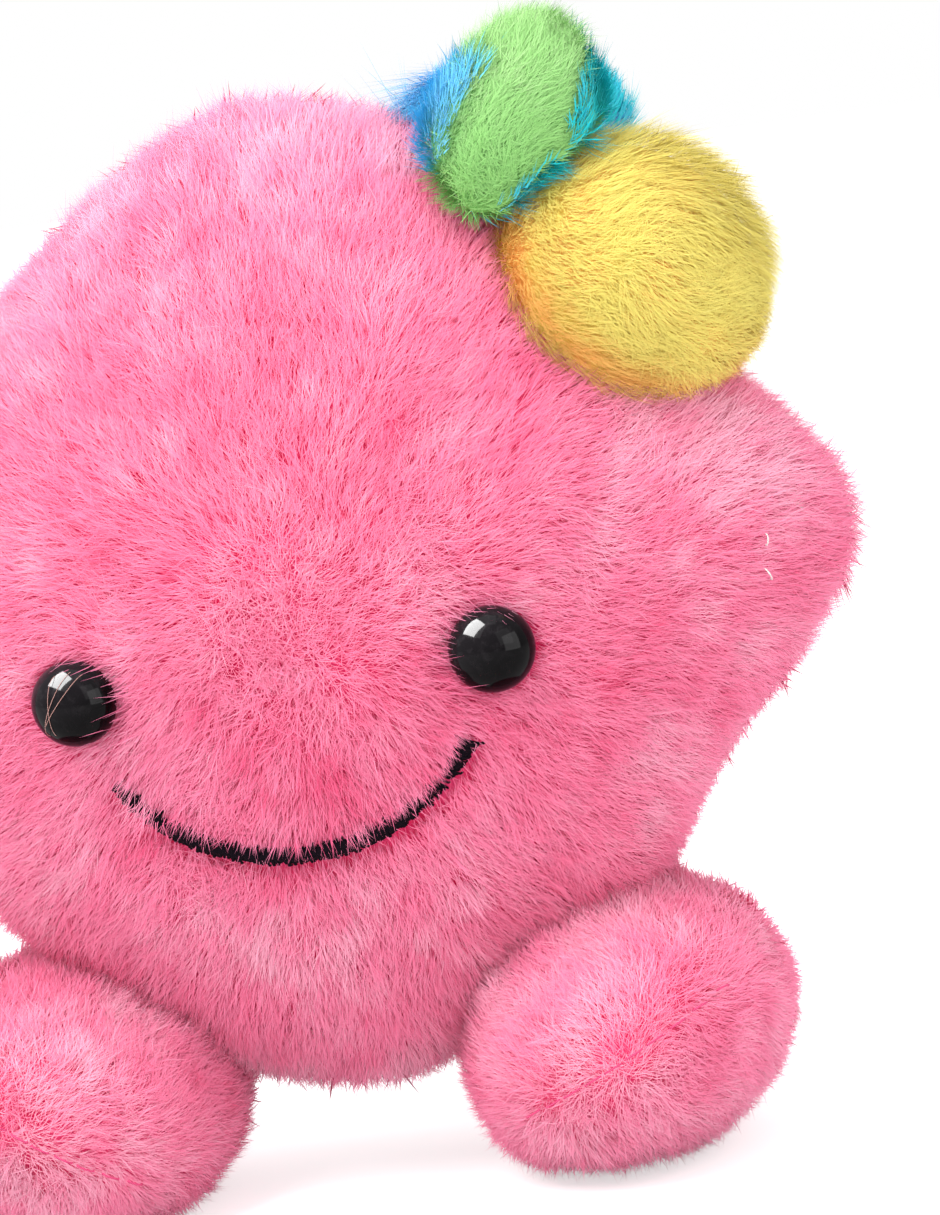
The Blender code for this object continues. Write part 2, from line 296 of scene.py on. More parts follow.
@dataclass(frozen=True)
class PileFinish:
    """Pile, from its deepest to its palest strands, darker down at the root and paler out at the tip; the
    darker, more saturated roots partly paint the shade and pink bounce light deep in the pile.
    """

    name: str
    slot: str
    roots: tuple[Colour, Colour, Colour]
    tips: tuple[Colour, Colour, Colour]
    sheen: float = 0.15
    fade: float = 0.46        # under 1, the tip's tone starts low on the strand

    def material(self) -> Material:
        """The strands' material: each strand's tint picks its colours, and its length runs from the root
        colour, partly painted shade, to the tip's.
        """
        shader = Shader(self.name, {
            "Roughness": 0.78, "Specular IOR Level": 0.25, "Sheen Weight": self.sheen,
            "Sheen Roughness": 0.45, "Sheen Tint": (*self.tips[2], 1.0),
        })
        tint = shader.attribute("tint")
        root = shader.ramp(tint, list(zip((0.0, 0.5, 1.0), self.roots)))
        tip = shader.ramp(tint, list(zip((0.0, 0.5, 1.0), self.tips)))
        rise = shader.math("POWER", shader.attribute("along"), self.fade)
        shader.paint(shader.mix(rise, root, tip))
        return shader.material

    def backing(self) -> Material:
        """The knitted backing's material, with the pile's matted roots on it."""
        shader = Shader(self.name + "_backing", {"Roughness": 0.95, "Specular IOR Level": 0.1})
        shader.paint(shader.ramp(shader.noise(180.0), [(0.3, self.roots[0]), (0.7, self.roots[1])]))
        shader.bump(shader.noise(1400.0, 4.0, 0.7), 0.0006)
        return shader.material


@dataclass(frozen=True)
class MatteFinish:
    """A plain dull stuff, such as fibre, cloth or moulded plastic, with its own fine unevenness."""

    name: str
    dark: Colour
    light: Colour
    grain: float
    depth: float
    roughness: float = 0.9

    def material(self) -> Material:
        """The stuff's material."""
        shader = Shader(self.name, {"Roughness": self.roughness, "Specular IOR Level": 0.2})
        grain = shader.noise(self.grain, 5.0, 0.6)
        shader.paint(shader.ramp(grain, [(0.3, self.dark), (0.7, self.light)]))
        shader.bump(grain, self.depth)
        return shader.material


@dataclass(frozen=True)
class EyeFinish:
    """Black glossy plastic with faint rubbing marks under a clear gloss."""

    name: str = "eye_gloss"
    black: Colour = (0.0012, 0.0010, 0.0012)
    rubbed: Colour = (0.0035, 0.0030, 0.0034)
    smoothest: float = 0.05
    roughest: float = 0.11

    def material(self) -> Material:
        """The dome's material."""
        shader = Shader(self.name, {
            "Specular IOR Level": 0.05, "Coat Weight": 0.02, "Coat Roughness": 0.02, "Coat IOR": 1.3,
        })
        marks = shader.noise(900.0, 6.0, 0.7)
        shader.paint(shader.ramp(marks, [(0.45, self.black), (0.8, self.rubbed)]))
        spread = shader.node("ShaderNodeMapRange", {
            "Value": marks, "To Min": self.smoothest, "To Max": self.roughest,
        })
        shader.link(spread.outputs["Result"], shader.principled.inputs["Roughness"])
        return shader.material


@dataclass(frozen=True)
class ThreadFinish:
    """Twisted embroidery or sewing thread."""

    name: str
    shadow: Colour
    light: Colour
    twist: float = 2600.0
    sheen: float = 0.3
    gloss: float = 0.3
    relief: float = 0.00008

    def material(self) -> Material:
        """The thread's material, with the ply's slanting light and dark bands."""
        shader = Shader(self.name, {
            "Roughness": 0.7, "Specular IOR Level": self.gloss, "Sheen Weight": self.sheen,
            "Sheen Tint": (*self.light, 1.0),
        })
        ply = shader.node("ShaderNodeTexWave", {
            "Vector": shader.place(), "Scale": self.twist, "Distortion": 2.0,
        }, bands_direction="DIAGONAL")
        shader.paint(shader.ramp(ply.outputs["Fac"], [(0.2, self.shadow), (0.8, self.light)]))
        shader.bump(ply.outputs["Fac"], self.relief)
        return shader.material


# Each dye's roots are darker than its tips: partly painted shade and bounce light deep in the pile
PINK = PileFinish(
    "pink_pile", "pink_plush",
    roots=(dye(226, 40, 94), dye(248, 74, 130), dye(252, 110, 158)),
    tips=(dye(246, 96, 142), dye(255, 146, 182), dye(255, 190, 212)),
)
YELLOW = PileFinish(
    "yellow_pile", "yellow_plush",
    roots=(dye(252, 178, 92), dye(238, 218, 104), dye(236, 222, 130)),
    tips=(dye(255, 198, 112), dye(240, 226, 120), dye(240, 230, 156)),
)
GREEN = PileFinish(
    "green_pile", "green_plush",
    roots=(dye(98, 160, 66), dye(138, 202, 112), dye(174, 216, 148)),
    tips=(dye(122, 180, 84), dye(158, 214, 130), dye(196, 226, 168)),
)
BLUE = PileFinish(
    "blue_pile", "blue_plush",
    roots=(dye(164, 168, 240), dye(84, 190, 252), dye(0, 192, 208)),
    tips=(dye(196, 198, 246), dye(122, 214, 255), dye(40, 212, 222)),
)


def in_scene(name: str, data: bpy.types.ID) -> Object:
    """Puts a new object in the scene."""
    made = bpy.data.objects.new(name, data)
    bpy.context.scene.collection.objects.link(made)
    return made


def dress(mesh: Mesh, finish: Material) -> None:
    """Makes a material a mesh's only one."""
    mesh.materials.clear()
    mesh.materials.append(finish)


def mesh_object(name: str, mesh: Mesh, finish: Material | None = None) -> Object:
    """Puts a mesh in the scene.

    Args:
        name: The object's name.
        mesh: Its mesh.
        finish: Its material, if it has one yet.

    Returns:
        The new object.
    """
    if finish:
        dress(mesh, finish)
    return in_scene(name, mesh)


def as_piece(obj: Object, slot: str, *replaced: str) -> None:
    """Makes an object a piece of the toy.

    Args:
        obj: The object.
        slot: Its material slot; not used.
        replaced: The CAD nodes that it stands in for, if any.
    """
    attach(obj, BODY)
    if replaced:
        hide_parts(*replaced)
    LOG.info("%s: %d faces", obj.name, len(obj.data.polygons))


def from_faces(name: str, points: Points, faces: list[tuple[int, ...]]) -> Mesh:
    """Makes a smooth mesh.

    Args:
        name: The mesh's name.
        points: Its points, one a row.
        faces: The numbers of each face's points.

    Returns:
        The mesh.
    """
    mesh = bpy.data.meshes.new(name)
    mesh.from_pydata([tuple(point) for point in points], [], faces)
    mesh.shade_smooth()
    return mesh


def from_bmesh(name: str, made: bmesh.types.BMesh) -> Mesh:
    """Ends a BMesh as a smooth mesh whose faces look outwards.

    Args:
        name: The mesh's name.
        made: The BMesh. It is freed.

    Returns:
        The mesh.
    """
    bmesh.ops.recalc_face_normals(made, faces=made.faces)
    mesh = bpy.data.meshes.new(name)
    made.to_mesh(mesh)
    made.free()
    mesh.shade_smooth()
    return mesh


def corners(mesh: Mesh) -> Points:
    """A mesh's vertices, one a row."""
    found = np.empty(len(mesh.vertices) * 3, np.float32)
    mesh.vertices.foreach_get("co", found)
    return found.reshape(-1, 3).astype(float)


def normals_of(mesh: Mesh) -> Points:
    """A mesh's vertex normals, one a row."""
    found = np.empty(len(mesh.vertices) * 3, np.float32)
    mesh.vertex_normals.foreach_get("vector", found)
    return found.reshape(-1, 3).astype(float)


def write_corners(mesh: Mesh, points: Points) -> None:
    """Moves a mesh's vertices."""
    mesh.vertices.foreach_set("co", points.astype(np.float32).ravel())
    mesh.update()


def seeds(name: str, places: Points, values: dict[str, Points]) -> Object:
    """Makes an object of loose points that carry attributes.

    Args:
        name: The object's name.
        places: The points, one a row.
        values: For each attribute a number or a vector a point.

    Returns:
        The object.
    """
    mesh = bpy.data.meshes.new(name)
    mesh.vertices.add(len(places))
    write_corners(mesh, places)
    for key, value in values.items():
        kind, read = ("FLOAT_VECTOR", "vector") if value.ndim == 2 else ("FLOAT", "value")
        mesh.attributes.new(key, kind, "POINT").data.foreach_set(read, value.astype(np.float32).ravel())
    return mesh_object(name, mesh)


def evaluated(obj: Object, name: str) -> Mesh:
    """Makes a plain mesh of what an object's modifiers make.

    Args:
        obj: The object.
        name: The new mesh's name.

    Returns:
        The mesh.
    """
    graph = bpy.context.evaluated_depsgraph_get()
    mesh = bpy.data.meshes.new_from_object(obj.evaluated_get(graph))
    mesh.name = name
    return mesh


def surface_of(nodes: tuple[str, ...]) -> BVHTree:
    """Gathers the faces of several CAD nodes, for casting rays at.

    Args:
        nodes: The nodes' names.

    Returns:
        Their faces as one tree.
    """
    points: list[Vector] = []
    faces: list[tuple[int, ...]] = []
    for node in nodes:
        mesh = frame["nodes"][node].data
        faces += [tuple(len(points) + index for index in face.vertices) for face in mesh.polygons]
        points += [vertex.co.copy() for vertex in mesh.vertices]
    return BVHTree.FromPolygons(points, faces)


def seen_at(tree: BVHTree, x: float, z: float) -> tuple[Vector, Vector]:
    """The place and the normal where a surface shows from the front at x and z."""
    hit = tree.ray_cast(RAY_START + Vector((x, 0.0, z)), BACKWARD)
    return hit[0], hit[1]


def distance(tree: BVHTree, points: Points) -> Points:
    """How far each point lies from a surface."""
    return np.array([tree.find_nearest(point)[3] for point in points])


def box_of(nodes: tuple[str, ...]) -> tuple[Vector, Vector]:
    """Measures several CAD nodes together.

    Args:
        nodes: The nodes' names.

    Returns:
        Their lowest and highest corner.
    """
    boxes = [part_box(node) for node in nodes]
    low = Vector(min(box[0][axis] for box in boxes) for axis in range(3))
    high = Vector(max(box[1][axis] for box in boxes) for axis in range(3))
    return low, high


def direction(azimuth: float, elevation: float) -> Vector:
    """The direction from the toy at so many degrees round it, from the front, and above the ground."""
    turn, rise = math.radians(azimuth), math.radians(elevation)
    return Vector((math.sin(turn) * math.cos(rise), -math.cos(turn) * math.cos(rise), math.sin(rise)))


def denser_in_front(points: Points, behind: float, back: float, front: float) -> Points:
    """How densely pile grows: `behind` as far forward as `back`, and fully from `front` on."""
    return behind + (1.0 - behind) * smooth_step(-points[:, 1], back, front)


@dataclass
class Skin:
    """The stuffed fabric of one covering, drawn over CAD nodes and blown up by its filling."""

    label: str
    covers: tuple[str, ...]
    filling: tuple[str, ...]
    finish: PileFinish
    cells: int
    inset: float = 0.0037     # how far it lies below the pile's mean surface
    give: float = 0.0009      # how far the stuffing may move it
    cover: float = 0.0005     # how far it stays outside its filling
    shape: Callable[[Points, Points], Points] | None = None
    floor: float | None = None
    fill: float = 0.7
    pressure: float = 4.0
    frames: int = 20
    reach: float = 0.2        # rays at the CAD start this far from the middle
    mesh: Mesh = field(init=False)

    def build(self) -> "Skin":
        """Wraps, stuffs and shapes the skin and puts it in the scene."""
        mesh = self.wrapped()
        obj = mesh_object(self.label, mesh, self.finish.backing())
        self.stuffed(obj)
        points = corners(mesh)
        if self.shape:
            points = points + self.shape(points, normals_of(mesh))
        points = self.over_filling(points)
        if self.floor is not None:
            points[:, 2] = np.maximum(points[:, 2], self.floor)
        write_corners(mesh, points)
        finer = obj.modifiers.new("finer", "SUBSURF")
        finer.levels = finer.render_levels = 1
        self.mesh = evaluated(obj, self.label)
        obj.modifiers.remove(finer)
        obj.data = self.mesh
        as_piece(obj, self.finish.slot, *self.covers)
        return self

    def centre(self) -> Vector:
        """The middle that the skin is drawn in towards."""
        low, high = box_of(self.covers)
        return (low + high) / 2

    def over_filling(self, points: Points) -> Points:
        """Lifts the places where the filling would show through.

        Args:
            points: The skin's points.

        Returns:
            The points, each at least a little outside the filling.
        """
        tree = surface_of(self.filling)
        centre = self.centre()
        lifted = points.copy()
        for index, point in enumerate(points):
            away = Vector(point) - centre
            turn = away.normalized()
            hit = tree.ray_cast(centre + turn * self.reach, -turn, self.reach)
            if hit[0] and self.reach - hit[3] + self.cover > away.length:
                lifted[index] = centre + turn * (self.reach - hit[3] + self.cover)
        return lifted

    def wrapped(self) -> Mesh:
        """An even ball of square cells, drawn in on the CAD surface and sunk below the pile."""
        tree = surface_of(self.covers)
        centre = self.centre()
        made = bmesh.new()
        bmesh.ops.create_cube(made, size=2.0)
        bmesh.ops.subdivide_edges(made, edges=made.edges, cuts=self.cells - 1, use_grid_fill=True)
        radii: list[float] = []
        for vert in made.verts:
            vert.co = Vector(math.tan(value * math.pi / 4) for value in vert.co).normalized()
            hit = tree.ray_cast(centre + vert.co * self.reach, -vert.co, self.reach)
            radii.append(self.reach - hit[3] if hit[0] else math.nan)
        self.even_out(made, radii)
        for vert, radius in zip(made.verts, radii):
            vert.co = centre + vert.co * radius
        mesh = from_bmesh(self.label, made)
        write_corners(mesh, corners(mesh) - normals_of(mesh) * self.inset)
        return mesh

    def even_out(self, made: bmesh.types.BMesh, radii: list[float], passes: int = 3) -> None:
        """Fills missing radii from their neighbours and takes out grooves and seats.

        Args:
            made: The ball of cells.
            radii: The surface's distance from the middle at each of its points. It is changed.
            passes: How often the ball is gone over.
        """
        around = [[edge.other_vert(vert).index for edge in vert.link_edges] for vert in made.verts]
        done = 0
        while done < passes or any(math.isnan(radius) for radius in radii):
            done += 1
            before = list(radii)
            for index, near in enumerate(around):
                known = sorted(before[other] for other in near if not math.isnan(before[other]))
                if not known:
                    continue
                middle = sum(known) / len(known)
                if math.isnan(before[index]) or abs(before[index] - middle) > self.inset / 4:
                    radii[index] = known[len(known) // 2]

    def stuffed(self, obj: Object) -> None:
        """Blows the skin up as cloth and keeps how it gave, up to its limit.

        Args:
            obj: The skin's object. Its points are moved.
        """
        start = corners(obj.data)
        cloth = obj.modifiers.new("stuffing", "CLOTH")
        cloth.settings.use_pressure = True
        cloth.settings.uniform_pressure_force = self.pressure
        cloth.settings.effector_weights.gravity = 0.0
        cloth.point_cache.frame_start = 1
        cloth.point_cache.frame_end = self.frames
        for number in range(1, self.frames + 1):
            bpy.context.scene.frame_set(number)
        graph = bpy.context.evaluated_depsgraph_get()
        moved = corners(obj.evaluated_get(graph).data) - start
        far = np.linalg.norm(moved, axis=1, keepdims=True)
        moved *= np.minimum(1.0, self.give / np.maximum(far, 1e-9))
        LOG.info("%s: cloth moved %.1f mm, kept up to %.1f mm",
                 self.label, far.max() * 1e3, self.give * 1e3)
        obj.modifiers.remove(cloth)
        bpy.context.scene.frame_set(1)
        write_corners(obj.data, start + moved)


class NodeTree(Graph):
    """A Geometry Nodes tree under construction, with named inputs, that repeats one object."""

    single: Object

    def __init__(self, name: str, inputs: dict[str, str]) -> None:
        """Makes the tree.

        Args:
            name: The tree's name.
            inputs: Socket type of each input of its own.
        """
        super().__init__(bpy.data.node_groups.new(name, "GeometryNodeTree"))
        panel = self.tree.interface
        panel.new_socket("Geometry", in_out="INPUT", socket_type="NodeSocketGeometry")
        common = {"Single": "NodeSocketObject", "Material": "NodeSocketMaterial"}
        for label, kind in {**common, **inputs}.items():
            panel.new_socket(label, in_out="INPUT", socket_type=kind)
        panel.new_socket("Geometry", in_out="OUTPUT", socket_type="NodeSocketGeometry")
        self.entry = self.tree.nodes.new("NodeGroupInput")
        self.exit = self.tree.nodes.new("NodeGroupOutput")

    def scaled(self, vector: Socket, factor: object) -> Socket:
        """A vector times a value."""
        return self.node("ShaderNodeVectorMath", {0: vector, "Scale": factor}, operation="SCALE").outputs[0]

    def added(self, *vectors: Socket) -> Socket:
        """The sum of several vectors."""
        total = vectors[0]
        for vector in vectors[1:]:
            total = self.node("ShaderNodeVectorMath", {0: total, 1: vector}, operation="ADD").outputs[0]
        return total

    def attribute(self, name: str, kind: str = "FLOAT") -> Socket:
        """A named attribute of the geometry."""
        made = self.node("GeometryNodeInputNamedAttribute", {"Name": name}, data_type=kind)
        return made.outputs["Attribute"]

    def finish(self, geometry: Socket) -> None:
        """Gives the geometry its material and ends the tree."""
        dressed = self.node("GeometryNodeSetMaterial", {
            "Geometry": geometry, "Material": self.entry.outputs["Material"],
        })
        self.link(dressed.outputs[0], self.exit.inputs[0])

    def repeated(self, turned: dict[str, object] | None = None) -> Socket:
        """Repeats the object on every point and makes it real.

        Args:
            turned: Outputs for the turn and the size of each.

        Returns:
            The geometry.
        """
        given = self.entry.outputs
        single = self.node("GeometryNodeObjectInfo", {"Object": given["Single"]})
        every = self.node("GeometryNodeInstanceOnPoints", {
            "Points": given["Geometry"], "Instance": single.outputs["Geometry"], **(turned or {}),
        })
        return self.node("GeometryNodeRealizeInstances", {"Geometry": every.outputs[0]}).outputs[0]

    def run(self, obj: Object, values: dict[str, object], name: str) -> Mesh:
        """Runs the tree on an object and returns the result as a plain mesh.

        Args:
            obj: The object whose mesh goes in. It is removed.
            values: A value for each named input.
            name: The new mesh's name.

        Returns:
            The mesh that the tree made.
        """
        step = obj.modifiers.new("grow", "NODES")
        step.node_group = self.tree
        sockets = self.tree.interface.items_tree
        places = {item.name: item.identifier for item in sockets if item.in_out == "INPUT"}
        for label, value in {"Single": self.single, **values}.items():
            step[places[label]] = value
        mesh = evaluated(obj, name)
        obj.modifiers.remove(step)
        bpy.data.objects.remove(obj)
        return mesh


class StrandTree(NodeTree):
    """Grows one bent, tapered strand on every root point.

    A root carries its place, how far it stands out, how far it runs along the nap, the way across,
    the pull towards its clump and its breadth. The strand rises from the skin and bends over.
    """

    RISE = 0.82
    BEND = 0.28
    LAY = 0.38
    SWEEP = 0.30
    WIDEST = 0.46             # the share of its length at which a strand is widest

    def __init__(self) -> None:
        """Builds the tree."""
        super().__init__("strands", {
            label: "NodeSocketFloat" for label in ("Rise", "Bend", "Lay", "Sweep", "Floor")
        })
        given = self.entry.outputs
        real = self.repeated()
        along = self.attribute("along")
        square = self.math("MULTIPLY", along, along)
        up = self.math("SUBTRACT", self.math("MULTIPLY", along, given["Rise"]),
                       self.math("MULTIPLY", square, given["Bend"]))
        forward = self.math("ADD", self.math("MULTIPLY", along, given["Lay"]),
                            self.math("MULTIPLY", square, given["Sweep"]))
        wide = self.math("MULTIPLY", self.attribute("across"), self.attribute("breadth"))
        place = self.added(
            self.attribute("root", "FLOAT_VECTOR"),
            self.scaled(self.attribute("out", "FLOAT_VECTOR"), up),
            self.scaled(self.attribute("nap", "FLOAT_VECTOR"), forward),
            self.scaled(self.attribute("pull", "FLOAT_VECTOR"), square),
            self.scaled(self.attribute("side", "FLOAT_VECTOR"), wide),
        )
        apart = self.node("ShaderNodeSeparateXYZ", {0: place})
        height = self.math("MAXIMUM", apart.outputs["Z"], given["Floor"])
        together = self.node("ShaderNodeCombineXYZ", {
            "X": apart.outputs["X"], "Y": apart.outputs["Y"], "Z": height,
        })
        moved = self.node("GeometryNodeSetPosition", {
            "Geometry": real, "Position": together.outputs[0],
        })
        self.finish(moved.outputs[0])
        self.single = self.blade()

    def blade(self) -> Object:
        """Makes one flat strand, pointed at both ends, whose points carry their place on it.

        Returns:
            The strand, to be repeated.
        """
        across = (0.0, 0.5, -0.5, 0.0)
        along = (0.0, self.WIDEST, self.WIDEST, 1.0)
        points = [(x, t, 0.0) for x, t in zip(across, along)]
        mesh = from_faces("blade", np.array(points), [(0, 1, 2), (2, 1, 3)])
        for name, values in (("across", across), ("along", along)):
            mesh.attributes.new(name, "FLOAT", "POINT").data.foreach_set("value", values)
        return mesh_object("blade", mesh)


class Clearing:
    """A round place where nothing grows, such as under an eye, and which few strands reach into."""

    BARE = 0.90               # the share of its radius within which nothing grows
    NEAR = 4.0                # only strands within so many radii of it are looked at
    OVERLAPS = (-0.3, 1.0)    # the least and the most of the overlap that a strand takes

    def __init__(self, centre: Vector, axis: Vector, radius: float, overlap: float, press: float) -> None:
        """States the clearing.

        Args:
            centre: Its middle.
            axis: The direction that it faces.
            radius: Its radius.
            overlap: How far strands reach in over its edge.
            press: By how much a strand that reaches the edge stands higher.
        """
        self.press = press
        self.centre = np.array(centre)
        self.axis = np.array(axis)
        self.radius = radius
        self.overlap = overlap

    def open(self, roots: Points, nap: Points, advance: Points,
             rng: np.random.Generator) -> tuple[Points, Points]:
        """How far each strand may run before it reaches the clearing.

        Args:
            roots: The strands' roots.
            nap: Their directions, at length 1.
            advance: How far each would run.
            rng: Source of the random overlaps.

        Returns:
            The advance, shorter where needed and 0 where nothing grows, and by how much each
            strand stands higher where it is pressed against the edge.
        """
        local = roots - self.centre
        local = local - np.outer(local @ self.axis, self.axis)
        flow = unit(nap - np.outer(nap @ self.axis, self.axis))
        far = np.linalg.norm(local, axis=1)
        ahead = -(local * flow).sum(1)
        beside = far ** 2 - ahead ** 2
        crossed = (ahead > 0.0) & (beside < self.radius ** 2)
        room = ahead - np.sqrt(np.maximum(self.radius ** 2 - beside, 0.0))
        room = room + self.overlap * rng.uniform(*self.OVERLAPS, len(roots))
        limited = np.where(crossed, np.minimum(advance, room), advance)
        near = np.linalg.norm(roots - self.centre, axis=1) < self.NEAR * self.radius
        run = np.where((far < self.radius * self.BARE) & near, 0.0,
                       np.where(near, np.maximum(limited, SHORTEST), advance))
        return run, np.where(near & (limited < advance), self.press, 1.0)


class Line:
    """The smile: an arc that strands part at, seen from the front."""

    # Where tufts hang over the stitching: place and breadth in radians, depth in widths, and rise
    VEILS = ((-0.79, 0.090, 2.6, 1.1), (0.12, 0.16, 0.40, 0.0))
    FRINGE = 0.0024           # the strands that hang over have their roots this close to it
    PRESS = 1.55              # how much higher a strand stands that is pressed against the edge
    BARE = 0.40               # nothing grows within so many widths of the middle
    OVERLAPS = (-0.05, 0.42)  # how far strands reach in, in widths
    CROSSERS = 0.10           # the share of strands that reach further in
    CROSSING = 0.9            # by so many widths
    STEEPEST = 0.15           # a strand that runs along the arc counts as running out by this much

    def __init__(self, centre: Vector, radius: float, half_angle: float, width: float) -> None:
        """States the arc.

        Args:
            centre: The arc's centre.
            radius: Its radius.
            half_angle: Half of its opening, in radians.
            width: The width of the stitching.
        """
        self.centre = np.array(centre)
        self.radius = radius
        self.half_angle = half_angle
        self.width = width

    def open(self, roots: Points, nap: Points, advance: Points,
             rng: np.random.Generator) -> tuple[Points, Points]:
        """How far each strand may run: those from above stop at the stitching, and none grows in it.

        Args:
            roots: The strands' roots.
            nap: Their directions, at length 1.
            advance: How far each would run.
            rng: Source of the random overlaps.

        Returns:
            The same as for a clearing.
        """
        x = roots[:, 0] - self.centre[0]
        z = roots[:, 2] - self.centre[2]
        far = np.hypot(x, z)
        turn = np.arctan2(x, -z)
        spread = np.stack([x, np.zeros_like(x), z], axis=1) / far[:, None]
        outward = np.maximum((nap * spread).sum(1), self.STEEPEST)
        inside = self.radius - self.width / 2 - far
        overlap = rng.uniform(*self.OVERLAPS, len(roots))
        close = smooth_step(-np.abs(inside), -self.FRINGE, -self.FRINGE / 2)
        raised = np.ones(len(roots))
        for place, breadth, depth, rise in self.VEILS:
            veil = np.exp(-((turn - place) / breadth) ** 2)
            overlap = overlap + depth * veil
            raised = raised + rise * veil * close
        crossers = rng.random(len(roots)) < self.CROSSERS
        overlap = np.where(crossers, overlap + self.CROSSING, overlap) * self.width
        room = (inside + overlap) / outward
        front = (roots[:, 1] < self.centre[1]) & (np.abs(turn) < self.half_angle)
        covered = np.abs(far - self.radius) < self.width * self.BARE
        limited = np.where(front & (inside > 0.0), np.minimum(advance, np.maximum(room, SHORTEST)), advance)
        pressed = np.where(limited < advance, self.PRESS, 1.0)
        run = np.where(front & covered, 0.0, limited)
        return run, np.where(front, np.maximum(pressed, raised), pressed)


